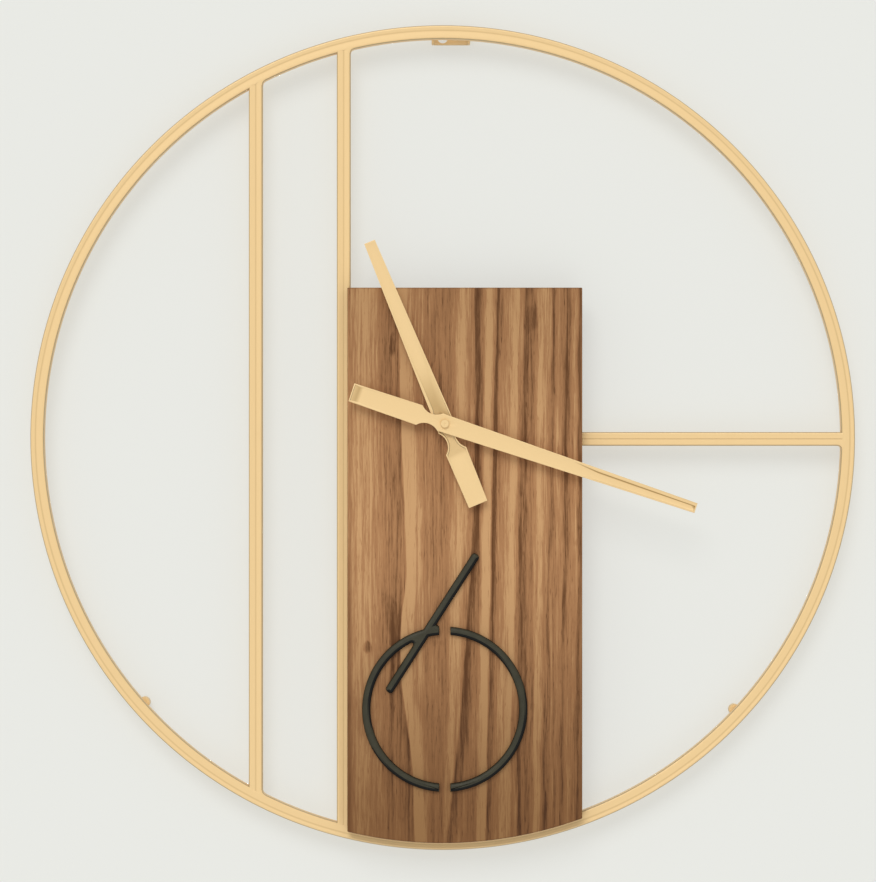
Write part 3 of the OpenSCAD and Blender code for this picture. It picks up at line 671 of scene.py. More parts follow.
def bare_metal(tone, rough, stretch):
    """A maker of bare or plated metal with fine tool marks."""
    def make(name):
        f = Finish(name, metallic=1.0)
        marks = f.noise(f.at(stretch), 1, 3, 0.7)
        cloud = f.noise(f.at(), 0.3, 3)
        base = tint(tone)
        f.set("Base Color", f.mix(f.band(cloud + marks, 0.7, 1.35), shaded(base, 0.72), base))
        f.set("Roughness", rough + 0.22 * marks)
        f.bump(marks, 0.10, 0.04 * MM)
        return f
    return make


def battery_wrap(name):
    """Plain two-tone printed wrap with bare metal ends."""
    f = Finish(name)
    x = f.axes()[0]
    low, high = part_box("battery")
    start = low.x / MM
    end = high.x / MM
    band = f.band(x, end - 15.2, end - 15.0)
    line = f.band(x, end - 16.6, end - 16.4) * f.band(x, end - 15.9, end - 15.7, 1, 0)
    bare = f.band(x, start + 0.55, start + 0.45) + f.band(x, end - 1.7, end - 1.6)
    sheen = f.noise(f.at((0.02, 1.2, 1.2)), 1, 3)
    tone = f.mix(band + line, tint("wrap"), tint("wrap_band"))
    f.set("Base Color", f.mix(bare, tone, tint("nickel")))
    f.set("Metallic", f.band(bare, 0, 1, 0.25, 1.0))
    f.set("Roughness", 0.28 + 0.12 * sheen)
    f.bump(sheen, 0.06, 0.05 * MM)
    return f


def board(name):
    """Green solder resist with the copper tracks showing through."""
    f = Finish(name)
    bend = f.band(f.noise(f.at(), 0.25, 0), 0.45, 0.55, 0, 1.6)
    run = f.axes()[0] * 0.8 + bend
    track = f.band(abs(run.math("FRACT", run) - 0.5), 0.20, 0.16)
    base = tint("board")
    f.set("Base Color", f.mix(track * 0.55, base, shaded(base, 2.1)))
    f.set("Roughness", 0.34 + 0.15 * f.noise(f.at(), 1.5, 2))
    f.bump(track, 0.3, 0.05 * MM)
    return f


def copper(name):
    """Fine enamelled wire in close turns along X."""
    f = Finish(name, metallic=0.7)
    run = f.axes()[0] * 5
    turn = abs(run.math("FRACT", run) - 0.5)
    cloud = f.noise(f.at(), 0.4, 2)
    base = tint("copper")
    # Painted shade: darker copper in the gaps between the turns
    f.set("Base Color", f.mix(f.band(turn + cloud * 0.3, 0.5, 0.1), shaded(base, 0.55), base))
    f.set("Roughness", 0.3 + 0.2 * cloud)
    f.bump(turn, 0.5, 0.1 * MM)
    return f


FINISHES = {
    "gold_paint": gold_paint,
    "zinc_steel": bare_metal("steel", 0.28, (0.8, 0.8, 3.0)),
    "walnut": walnut,
    "numeral_black": numeral_black,
    "case_plastic": moulded("plastic", 4.5, 0.42, 0.25),
    "brass": bare_metal("brass", 0.22, (1.2, 6.0, 1.2)),
    "rubber": moulded("rubber", 3.0, 0.70, 0.2),
    "battery_wrap": battery_wrap,
    "contact_plate": bare_metal("nickel", 0.16, (2.0, 2.0, 2.0)),
    "board": board,
    "copper": copper,
    "motor_steel": bare_metal("motor_steel", 0.34, (5.0, 0.6, 0.6)),
    "white_plastic": moulded("moving_plastic", 3.0, 0.36, 0.12),
}


def finish(slot):
    """The material of a slot, made the first time that it is asked for."""
    name = slot + "_finish"
    found = bpy.data.materials.get(name)
    return found or FINISHES[slot](name).material


# Frame

# Share of the darker gold painted in the tubes' troughs as painted shade
TROUGH_SHADE = 0.7
TAB_LONG = 24 * MM
TAB_WIDE = 16 * MM
TAB_SHEET = 2 * MM
TAB_RISES = (60 * MM, -150 * MM)
TAB_TURNS = (radians(262), radians(282))
WELD_GAP = 0.05 * MM


def tube_section(name, x, z, groove, depth, aside=0):
    """Outline of the tube in the XY plane, with a valley and a groove along its front."""
    s = bpy.context.scene.clock_sizes
    half = TUBE_W / 2
    lip = half - s.tube_round
    low = x + aside
    points = [
        (x - half, BACK, z), (x - half, FRONT, z), (x - lip, FRONT, z),
        (low - groove / 2, FRONT + s.valley, z), (low, FRONT + s.valley + depth, z),
        (low + groove / 2, FRONT + s.valley, z), (x + lip, FRONT, z), (x + half, FRONT, z),
        (x + half, BACK, z),
    ]
    obj = outline(name, points)
    with editing(obj, "VERT"):
        pick(obj, "VERT", lambda co: abs(abs(co.x - x) - half) < 0.1 * MM)
        bpy.ops.mesh.bevel(offset=0.98 * s.tube_round, segments=5, affect="VERTICES")
    return obj


def upright(name, x):
    """A tube along Z that runs a little way into the ring at both ends."""
    s = bpy.context.scene.clock_sizes
    obj = tube_section(name, x, RING_Z - RING_R, s.trough, s.trough_depth)
    thicken(obj, (0, 0, 2 * RING_R))
    return mark_trough_shade(cope(obj), lambda co: co.x - x)


def cope(obj):
    """Trim a bar to a circle just inside the ring's front face, for a flush weld."""
    s = bpy.context.scene.clock_sizes
    reach = RING_IN + s.tube_round + 0.2 * MM
    tool = rod("coping", reach, FRONT - MM, BACK + MM, 0, RING_Z, 256)
    return combine(obj, tool, "INTERSECT")


def mark_trough_shade(obj, aside):
    """Keep on each corner whether it lies at the bottom of the trough, where the gold paint is darkened as
    painted shade.
    """
    s = bpy.context.scene.clock_sizes
    bottom = FRONT + s.valley + s.trough_depth
    mark = obj.data.attributes.new("hollow", "FLOAT", "POINT")
    for corner, row in zip(obj.data.vertices, mark.data):
        if abs(corner.co.y - bottom) < NEAR and abs(aside(corner.co)) < 2 * MM:
            row.value = TROUGH_SHADE
    return obj


class CLOCK_OT_ring(bpy.types.Operator):
    """Bend the tube into the ring"""
    bl_idname = "clock.ring"
    bl_label = "Ring"

    def execute(self, context):
        s = context.scene.clock_sizes
        middle = RING_R - TUBE_W / 2
        obj = tube_section("gold_ring", middle, RING_Z, s.trough, s.trough_depth, s.trough_aside)
        whirl(obj, CENTRE, steps=288)
        mark_trough_shade(obj, lambda co: hypot(co.x, co.z - RING_Z) - middle)
        seat(obj, "frame", "gold_paint", "ring_tube", angle=30)
        return {"FINISHED"}


class CLOCK_OT_bars(bpy.types.Operator):
    """Cut the two uprights and the side bar to fit the ring"""
    bl_idname = "clock.bars"
    bl_label = "Bars"

    def execute(self, context):
        s = context.scene.clock_sizes
        for name, node, low, high in (
            ("gold_upright_left", "left_bar", LEFT_LO, LEFT_HI),
            ("gold_upright_right", "right_bar", RIGHT_LO, RIGHT_HI),
        ):
            obj = upright(name, (low.x + high.x) / 2)
            seat(obj, "frame", "gold_paint", node, angle=30)
        obj = tube_section("gold_side_bar", 0, 0, s.groove, s.groove_depth)
        thicken(obj, (0, 0, RING_R))
        wall = MM
        front_wall = 1.6 * MM
        mouth = TUBE_W / 2 - wall
        deep = 30 * MM
        combine(obj, block("hollow", (-mouth, FRONT + front_wall, -MM), (mouth, BACK - wall, deep)))
        rise = (CROSS_LO.z + CROSS_HI.z) / 2
        place(obj, Matrix.Translation((CROSS_LO.x, 0, rise)) @ Matrix.Rotation(pi / 2, 4, "Y"))
        cope(obj)
        seat(obj, "frame", "gold_paint", "cross_bar", angle=30)
        return {"FINISHED"}


def fillet(corner, along_bar, into_bar, along_ring, into_ring, leg):
    """A ground weld in a corner, flush with both tubes and hollow towards the opening."""
    lap = 1.4 * MM
    sides = [(along_bar, leg), (along_bar, 0.45 * leg), (along_ring, 0.45 * leg), (along_ring, leg)]
    hollow = [corner + way * reach for way, reach in sides]
    hollow[1] = hollow[1] + along_ring * 0.12 * leg
    hollow[2] = hollow[2] + along_bar * 0.12 * leg
    on_bar = hollow[0] + into_bar * lap
    on_ring = hollow[3] + into_ring * lap
    points = [corner + (into_bar + into_ring) * lap, on_bar, *hollow, on_ring]
    front = FRONT + 0.02 * MM
    obj = outline("fillet", [(p.x, front, p.z) for p in points])
    thicken(obj, (0, BACK - FRONT - 1.2 * MM, 0))

    def open_edge(mid, way):
        off = mid - corner
        return abs(mid.y - front) < NEAR and max(off.dot(into_bar), off.dot(into_ring)) < 0.1 * MM

    with editing(obj, "EDGE"):
        pick(obj, "EDGE", open_edge)
        bpy.ops.mesh.bevel(offset=1.1 * MM, segments=4, affect="EDGES")
    return obj


def bead_model():
    """A weld bead as a ball with every second ring drawn in."""
    rings = 20
    rest()
    bpy.ops.mesh.primitive_uv_sphere_add(segments=12, ring_count=rings, radius=0.5)
    obj = fresh("bead")
    with editing(obj, "VERT"):
        pick(obj, "VERT", lambda co: abs(co.z) < 0.49
             and round((asin(2 * co.z) / pi + 0.5) * rings) % 2 == 0)
        bpy.ops.transform.resize(value=(0.86, 0.86, 1))
    return obj


def seam(start, end, wide, high):
    """The matrix that draws a bead out along a seam on the tubes' backs, between two (x, z) places."""
    start = Vector((start[0], BACK, start[1]))
    end = Vector((end[0], BACK, end[1]))
    run = end - start
    spin = run.to_track_quat("Z", "Y").to_matrix().to_4x4()
    return Matrix.Translation((start + end) / 2) @ spin @ Matrix.Diagonal((wide, high, run.length, 1))


class CLOCK_OT_welds(bpy.types.Operator):
    """Grind the welds flush in front and leave their beads behind"""
    bl_idname = "clock.welds"
    bl_label = "Welds"

    def execute(self, context):
        leg = context.scene.clock_sizes.weld_leg
        short = 0.5 * MM
        size = (3.2 * MM, 1.5 * MM)
        right = Vector((1, 0, 0))
        down = Vector((0, 0, -1))
        fillets = []
        seams = []
        for low, high in ((LEFT_LO, LEFT_HI), (RIGHT_LO, RIGHT_HI)):
            rise = sqrt(RING_IN ** 2 - high.x ** 2)
            far_rise = sqrt(RING_IN ** 2 - low.x ** 2)
            for side in (1, -1):
                corner = Vector((high.x, 0, RING_Z + side * rise))
                turn = atan2(side * rise, high.x)
                way = Vector((side * sin(turn), 0, -side * cos(turn)))
                out = Vector((cos(turn), 0, sin(turn)))
                fillets.append(fillet(corner, side * down, -right, way, out, leg))
                start = (low.x + short, RING_Z + side * far_rise)
                seams.append(seam(start, (high.x - short, corner.z), *size))
        edge = sqrt(RING_IN ** 2 - (CROSS_LO.z - RING_Z) ** 2)
        fillets.append(fillet(Vector((edge, 0, CROSS_LO.z)), -right, -down, down, right, leg))
        seams.append(seam((edge, CROSS_LO.z + short), (edge, CROSS_HI.z - short), *size))
        low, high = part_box("hanger_bracket")
        inner = RING_Z + RING_IN
        for x in (low.x, high.x):
            seams.append(seam((x, inner + 1.6 * MM), (x, high.z - 0.6 * MM), 2.2 * MM, 2.2 * MM))
        obj = join(fillets + copies(bead_model(), seams), "welds")
        seat(obj, "frame", "gold_paint", angle=50)
        return {"FINISHED"}


class CLOCK_OT_fixings(bpy.types.Operator):
    """Bend the hanger, turn the wall pegs and cut the panel's tabs"""
    bl_idname = "clock.fixings"
    bl_label = "Wall fixings and tabs"

    def execute(self, context):
        self.hanger()
        self.pegs()
        self.tabs()
        return {"FINISHED"}

    def hanger(self):
        """A hat-shaped bracket with a keyhole in its back."""
        low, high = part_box("hanger_bracket")
        sheet = 2 * MM
        hat = [
            (low.x, low.y), (low.x, high.y), (high.x, high.y), (high.x, low.y), (high.x - sheet, low.y),
            (high.x - sheet, high.y - sheet), (low.x + sheet, high.y - sheet), (low.x + sheet, low.y),
        ]
        obj = outline("hanger", [(x, y, low.z) for x, y in hat])
        with editing(obj, "VERT"):
            pick(obj, "VERT", lambda co: co.y > high.y - 0.5 * MM)
            bpy.ops.mesh.bevel(offset=1.6 * MM, segments=5, affect="VERTICES")
        thicken(obj, (0, 0, high.z - low.z))
        round_edges(obj, 0.3 * MM, 2, 60)
        mouth = 3.75 * MM
        slot = 1.9 * MM
        rise = high.z - 1.3 * MM - slot
        front = high.y - 2 * sheet
        back = high.y + MM
        combine(obj, rod("mouth", mouth, front, back, 0, 0))
        combine(obj, block("slot", (-slot, front, 0), (slot, back, rise)))
        combine(obj, rod("slot_end", slot, front, back, 0, rise))
        seat(obj, "frame", "gold_paint", "hanger_bracket")

    def pegs(self):
        """Two short pegs with eased ends."""
        low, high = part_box("wall_pegs")
        radius = 4 * MM
        ease = 0.8 * MM
        bulge = 0.24 * MM
        section = [
            (0, low.y), (radius, low.y), (radius, high.y - ease), (radius - bulge, high.y - bulge),
            (radius - ease, high.y), (0, high.y),
        ]
        reach = RING_IN + radius - 2.5 * MM
        places = []
        for x in (low.x + radius, high.x - radius):
            drop = sqrt(reach ** 2 - x ** 2)
            places.append(Matrix.Translation((x, 0, RING_Z - drop)))
        pegs = copies(turned("peg", section, Vector(), 48), places)
        seat(join(pegs, "pegs"), "frame", "gold_paint", "wall_pegs")

    def tabs(self):
        """Four steel tabs with rounded ends and a screw hole."""
        half = TAB_WIDE / 2
        back = FRONT + TAB_SHEET
        tab = rounded_slab("tab", (0, FRONT, -half), (TAB_LONG, back, half), 3 * MM)
        combine(tab, rod("hole", 1.7 * MM, FRONT - MM, back + MM, TAB_LONG / 2, 0, 40))
        round_edges(tab, 0.2 * MM, 2)
        seat(join(copies(tab, tab_places()), "tabs"), "frame", "gold_paint", "panel_tabs")


def tab_places():
    """Where the tabs leave the right upright and the ring's foot, with their length along X."""
    spots = [Matrix.Translation((RIGHT_HI.x + WELD_GAP, 0, RING_Z + rise)) for rise in TAB_RISES]
    reach = sqrt(RING_IN ** 2 - TAB_WIDE ** 2 / 4) - WELD_GAP
    for turn in TAB_TURNS:
        out = Vector((cos(turn), 0, sin(turn)))
        spots.append(Matrix.Translation(CENTRE + out * reach) @ Matrix.Rotation(pi - turn, 4, "Y"))
    return spots


def wood_screw(name, front, seat_y):
    """A pan-head screw along Y at the origin, with a cross recess in its head."""
    r = 1.5 * MM
    head = 3 * MM
    section = [
        (0, front), (0.3 * r, front + 0.4 * MM), (0.9 * r, front + 2.5 * MM), (r, front + 3.5 * MM),
        (r, seat_y), (head, seat_y), (head, seat_y + 0.7 * MM), (0.94 * head, seat_y + 1.15 * MM),
        (0.78 * head, seat_y + 1.5 * MM), (0.5 * head, seat_y + 1.72 * MM), (0, seat_y + 1.8 * MM),
    ]
    obj = turned(name, section, Vector(), 40)
    arm = 1.5 * MM
    thin = 0.38 * MM
    for turn in (0, pi / 2):
        bar = block("recess", (-arm, seat_y + 0.9 * MM, -thin), (arm, seat_y + 3 * MM, thin))
        combine(obj, place(bar, Matrix.Rotation(turn, 4, "Y")))
    return clear_slivers(obj)


class CLOCK_OT_screws(bpy.types.Operator):
    """Turn the wood screws that hold the panel"""
    bl_idname = "clock.screws"
    bl_label = "Screws"

    def execute(self, context):
        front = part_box("tab_screws")[0].y
        model = wood_screw("screw", front, FRONT + TAB_SHEET)
        hole = Vector((TAB_LONG / 2, 0, 0))
        places = [Matrix.Translation(spot @ hole) for spot in tab_places()]
        seat(join(copies(model, places), "panel_screws"), "frame", "zinc_steel", "tab_screws")
        low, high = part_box("cross_bar_screw")
        long = wood_screw("side_bar_screw", low.y, BACK)
        place(long, Matrix.Translation(axis_of(low, high)))
        seat(long, "frame", "zinc_steel", "cross_bar_screw")
        return {"FINISHED"}


class CLOCK_OT_panel(bpy.types.Operator):
    """Saw the walnut panel with its round foot"""
    bl_idname = "clock.panel"
    bl_label = "Panel"

    def execute(self, context):
        s = context.scene.clock_sizes
        spare = Vector((0, 0, 60 * MM))
        obj = block("walnut_panel", PANEL_LO - spare, PANEL_HI)
        foot_r = RING_Z - PANEL_LO.z
        combine(obj, rod("foot", foot_r, FACE - MM, FRONT + MM, 0, RING_Z, 360), "INTERSECT")
        round_edges(obj, s.panel_round, 4)
        combine(obj, rod("hole", 4.1 * MM, FACE - MM, FRONT + MM, HUB.x, HUB.z))
        seat(obj, "frame", "walnut", "wood_panel", angle=40)
        even_shading(obj)
        return {"FINISHED"}


# Numeral

BOWL = Vector((HUB.x, 0, HUB.z - 206.5 * MM))
BOWL_R = 59.75 * MM
STROKE = 6 * MM
BOWL_GAP = 8 * MM
SLASH_MID = BOWL + Vector((-8.9 * MM, 0, 62.3 * MM))
SLASH_HALF = 59.25 * MM
SLASH_LEAN = radians(32.8)
STROKE_T = 4 * MM
STROKE_FRONT = FACE - STROKE_T
SLASH_WAY = Vector((sin(SLASH_LEAN), 0, cos(SLASH_LEAN)))
SLASH_SIDE = Vector((cos(SLASH_LEAN), 0, -sin(SLASH_LEAN)))


def crossing(side, radius):
    """Where an edge of the slanted stroke crosses a circle about the bowl's centre, high up."""
    edge = SLASH_MID + SLASH_SIDE * side * STROKE / 2 - BOWL
    reach = edge.dot(SLASH_WAY)
    step = -reach + sqrt(reach ** 2 - edge.length_squared + radius ** 2)
    return BOWL + edge + SLASH_WAY * step


def plate(name, points, spare):
    """A flat shape through the strokes' depth, with some depth to spare."""
    obj = outline(name, [(p.x, STROKE_FRONT - spare, p.z) for p in points])
    return thicken(obj, (0, STROKE_T + 2 * spare, 0))


def bowl(name, spare):
    """The whole bowl, square in section."""
    r = BOWL_R - STROKE
    front = STROKE_FRONT - spare
    back = FACE + spare
    return turned(name, [(r, back), (r, front), (BOWL_R, front), (BOWL_R, back)], BOWL, 180)


def slash(spare):
    """The slanted stroke with its rounded ends."""
    low = (-STROKE / 2, STROKE_FRONT - spare, -SLASH_HALF)
    high = (STROKE / 2, FACE + spare, SLASH_HALF)
    obj = rounded_slab("slash", low, high, 2.4 * MM)
    return place(obj, Matrix.Translation(SLASH_MID) @ Matrix.Rotation(SLASH_LEAN, 4, "Y"))


def fork(spare):
    """Filling of the narrow fork between the bowl and the slanted stroke."""
    inner = BOWL_R - STROKE
    leg = 4.4 * MM
    sunk = 0.06 * MM
    bulge = 2.4 * MM
    lap = 1.6 * MM
    apex = crossing(-1, inner)
    down = apex - SLASH_WAY * leg + SLASH_SIDE * sunk
    turn = atan2(apex.z - BOWL.z, apex.x - BOWL.x) + leg / inner
    ray = Vector((cos(turn), 0, sin(turn)))
    left = BOWL + ray * (inner + sunk)
    middle = (down + left) / 2
    out = (apex - middle).normalized()
    bend = middle + out * bulge
    points = [left.lerp(bend, t).lerp(bend.lerp(down, t), t) for t in (0, 0.2, 0.4, 0.6, 0.8, 1)]
    points += [down + SLASH_SIDE * lap, apex + out * 1.5 * MM, left + ray * lap]
    return plate("fork", points, spare)


def horn(spare):
    """Filling of the notch between the slanted stroke and the bowl's upper end."""
    notch = crossing(1, BOWL_R)
    cap = BOWL.x - BOWL_GAP / 2
    top = BOWL.z + sqrt(BOWL_R ** 2 - BOWL_GAP ** 2 / 4)
    level = top + 0.9 * MM
    ease = 1.2 * MM
    high = notch + SLASH_WAY * (level - notch.z) / cos(SLASH_LEAN) - SLASH_SIDE * 2 * MM
    points = [
        high, Vector((cap - ease, 0, level)), Vector((cap + MM, 0, level - ease)),
        Vector((cap + MM, 0, top - 3 * MM)), Vector((notch.x - MM, 0, top - 3.5 * MM)),
    ]
    return plate("horn", points, spare)


def halve(obj, side):
    """Keep the bowl on one side of its gap."""
    with editing(obj):
        everything()
        bpy.ops.mesh.bisect(plane_co=(BOWL.x + side * BOWL_GAP / 2, 0, 0), plane_no=(side, 0, 0),
                            use_fill=True, clear_inner=True)
        outward()
    return obj


def face_off(obj, side):
    """Cut the strokes to their depth and round their front edges, the sawn ends less."""
    s = bpy.context.scene.clock_sizes
    cap = BOWL.x + side * BOWL_GAP / 2
    with editing(obj):
        for depth, way in ((STROKE_FRONT, 1), (FACE, -1)):
            everything()
            bpy.ops.mesh.bisect(plane_co=(0, depth, 0), plane_no=(0, way, 0), use_fill=True, clear_inner=True)
        outward()
    with editing(obj, "EDGE"):
        def long_edge(mid, way):
            return abs(mid.y - STROKE_FRONT) < NEAR and abs(mid.x - cap) > NEAR

        def end_edge(mid, way):
            return abs(mid.x - cap) < NEAR and mid.y < FACE - 0.1 * MM

        pick(obj, "EDGE", long_edge)
        bpy.ops.mesh.bevel(offset=s.stroke_round, segments=3, affect="EDGES")
        pick(obj, "EDGE", end_edge)
        bpy.ops.mesh.bevel(offset=0.45 * MM, segments=2, affect="EDGES")
    return obj


def mark_lower_shade(obj):
    """Keep on each face how far it looks down and to the right, where black is painted as painted shade."""
    way = Vector((0.35, 0, -0.94))
    mark = obj.data.attributes.new("lower_side", "FLOAT", "FACE")
    for face, row in zip(obj.data.polygons, mark.data):
        row.value = face.normal.dot(way)
    return obj


class CLOCK_OT_numeral(bpy.types.Operator):
    """Shape the two halves of the numeral six"""
    bl_idname = "clock.numeral"
    bl_label = "Numeral"

    def execute(self, context):
        # Each piece has its own depth to spare, so that no two faces lie in one plane before they are cut
        left = combine(bowl("numeral_slashed", 0.2 * MM), horn(0.3 * MM), "UNION")
        halve(left, -1)
        combine(left, slash(0.4 * MM), "UNION")
        combine(left, fork(0.5 * MM), "UNION")
        mark_lower_shade(face_off(left, -1))
        seat(left, "frame", "numeral_black", "numeral_left", angle=40)
        right = halve(bowl("numeral_curve", 0.2 * MM), 1)
        mark_lower_shade(face_off(right, 1))
        seat(right, "frame", "numeral_black", "numeral_right", angle=40)
        return {"FINISHED"}


# Hands

NECK_HALF = 3.7 * MM
NECK_CUT = 11 * MM


def neck_arc(sides, neck, parts=20):
    """Corners of the round cut on the right of a hand's neck, between the hand's straight sides."""
    def point(turn):
        return (NECK_HALF + NECK_CUT + NECK_CUT * cos(turn), -neck + NECK_CUT * sin(turn))

    def inside(turn):
        x, z = point(turn)
        for (x1, z1), (x2, z2) in zip(sides, sides[1:]):
            if z2 <= z <= z1:
                return x < x1 + (x2 - x1) * (z1 - z) / (z1 - z2)
        return False

    halvings = 40
    ends = []
    for far in (pi / 2, 3 * pi / 2):
        near = pi
        for _ in range(halvings):
            half = (near + far) / 2
            if inside(half):
                near = half
            else:
                far = half
        ends.append(near)
    first, last = ends
    return [point(first + (last - first) * i / parts) for i in range(parts + 1)]


def mark_hollow_shade(obj, rim, floor, spot, near, crease):
    """Keep on each corner how deep it lies in a hand's root or tail, and the crease along the wider rim,
    which steer the painted shade in the gold.
    """
    root = 40 * MM
    mark = obj.data.attributes.new("hollow", "FLOAT", "POINT")
    for corner, row in zip(obj.data.vertices, mark.data):
        depth = (corner.co.y - rim) / (floor - rim)
        if 0.3 < depth < 0.85 and corner.co.x < 0 and abs(corner.co.z - spot) < near:
            row.value = crease
        elif depth < 1.1 and corner.co.z < root:
            row.value = depth * 0.6 if -root < corner.co.z < 0 else depth


class CLOCK_OT_hands(bpy.types.Operator):
    """Press the two hands and turn their nut"""
    bl_idname = "clock.hands"
    bl_label = "Hands"

    def execute(self, context):
        hour = self.press(
            "hour_pointer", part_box("hour_hand"), clock_angle=337.5, hole=2.52 * MM,
            stations=((8.2, 142), (13.4, 0), (15.8, -21.5), (14.4, -63)), neck=12.7,
            folds=(60, 14, -23, -28), shallow=((30, 200, 0.3), (-70, -26, 0.2)),
            spot=14, near=2, push=1.3, fade=0, slope=4.6, crease=1)
        seat(hour, "hour_group", "gold_paint", "hour_hand")
        minute = self.press(
            "minute_pointer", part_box("minute_hand"), clock_angle=108.6, hole=1.32 * MM,
            stations=((7.4, 191), (13.0, 0), (15.0, -19.0), (13.6, -71)), neck=11.0,
            folds=(116, 94, 14, -62.5), shallow=((-64, 105, 0.12),),
            spot=155, near=41, push=1.4, fade=0.8, slope=0.6, crease=2)
        seat(minute, "minute_group", "gold_paint", "minute_hand")
        self.nut()
        return {"FINISHED"}

    def press(self, name, box, clock_angle, hole, stations, neck, folds, shallow,
              spot, near, push, fade, slope, crease):
        """A dished hand with a raised rim.

        In millimetres: stations are widths by place from the hub, neck is the place of its round cuts, folds
        are the places where its floor bends, and shallow gives lengths where only a share of the depth is
        left. Near a spot, the rim on one side is wider by push and its slope by fade, and the other side's
        slope is wider by slope.
        """
        s = bpy.context.scene.clock_sizes
        low, high = box
        spots = [(w * MM, p * MM) for w, p in stations]
        (tip_w, tip), (root_w, root) = spots[:2]
        end_w, end = spots[-1]
        slant = (root_w - tip_w) / 2 / tip
        arc = neck_arc([(w / 2, p) for w, p in spots], neck * MM)
        right = [(tip_w / 2, tip), (root_w / 2, root)] + arc + [(end_w / 2, end)]
        corners = right + [(-x, z) for x, z in reversed(right)]
        obj = outline(name, [(x, high.y, z) for x, z in corners])
        thicken(obj, (0, low.y - high.y, 0))
        floor = high.y - s.hand_sheet
        with editing(obj):
            for fold in folds:
                pick(obj, "FACE", lambda mid, normal: normal.y < -0.9)
                bpy.ops.mesh.bisect(plane_co=(0, 0, fold * MM), plane_no=(0, 0, 1))
            pick(obj, "FACE", lambda mid, normal: normal.y < -0.9)
            bpy.ops.mesh.inset(thickness=s.hand_rim)
            bpy.ops.mesh.inset(thickness=s.hand_slope, depth=-s.hand_step)
            bpy.ops.mesh.inset(thickness=s.hand_slope, depth=low.y + s.hand_step - floor)
        reach = s.hand_rim + 2 * s.hand_slope
        slack = 0.05 * MM

        def on_floor(co):
            return abs(co.y - floor) < slack

        def by_spot(co):
            return abs(co.z - spot * MM) < near * MM

        with editing(obj, "VERT"):
            for stop, way in ((tip, -1), (end, 1)):
                shift(obj, lambda co: on_floor(co) and abs(co.z - stop - way * reach) < 0.5 * MM,
                      (0, 0, way * (s.hand_end - reach)))
            shift(obj, lambda co: co.y < floor + slack and co.x < 0 and by_spot(co)
                  and co.x > -(root_w / 2 - slant * co.z) + 0.5 * MM, (push * MM, 0, 0))
            shift(obj, lambda co: on_floor(co) and co.x < 0 and by_spot(co), (fade * MM, 0, 0))
            shift(obj, lambda co: on_floor(co) and co.x > 0 and by_spot(co), (-slope * MM, 0, 0))
            for first, last, share in shallow:
                pick(obj, "VERT", lambda co: low.y + 0.02 * MM < co.y < floor + slack
                     and first * MM < co.z < last * MM)
                bpy.ops.transform.resize(value=(1, share, 1), center_override=(0, low.y, 0))
        combine(obj, rod("hole", hole, low.y - MM, high.y + MM, 0, 0, 48))
        round_edges(obj, 0.14 * MM, 2, 40)
        mark_hollow_shade(obj, low.y, floor, spot * MM, near * MM, crease)
        return place(obj, Matrix.Translation(HUB) @ Matrix.Rotation(radians(clock_angle), 4, "Y"))

    def nut(self):
        """A low round nut with a flat front, a small dimple and a blind bore."""
        low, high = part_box("hand_nut")
        r = (high.x - low.x) / 2
        bore = 1.4 * MM
        bottom = high.y - 1.7 * MM
        section = [
            (0, low.y + 0.25 * MM), (0.35 * MM, low.y + 0.2 * MM), (0.7 * MM, low.y), (r - 0.15 * MM, low.y),
            (r, low.y + 0.15 * MM), (r, high.y - 0.2 * MM), (r - 0.2 * MM, high.y), (bore, high.y),
            (bore, bottom), (0, bottom),
        ]
        obj = turned("pointer_nut", section, HUB, 48)
        seat(obj, "minute_group", "gold_paint", "hand_nut", angle=25)


# Movement

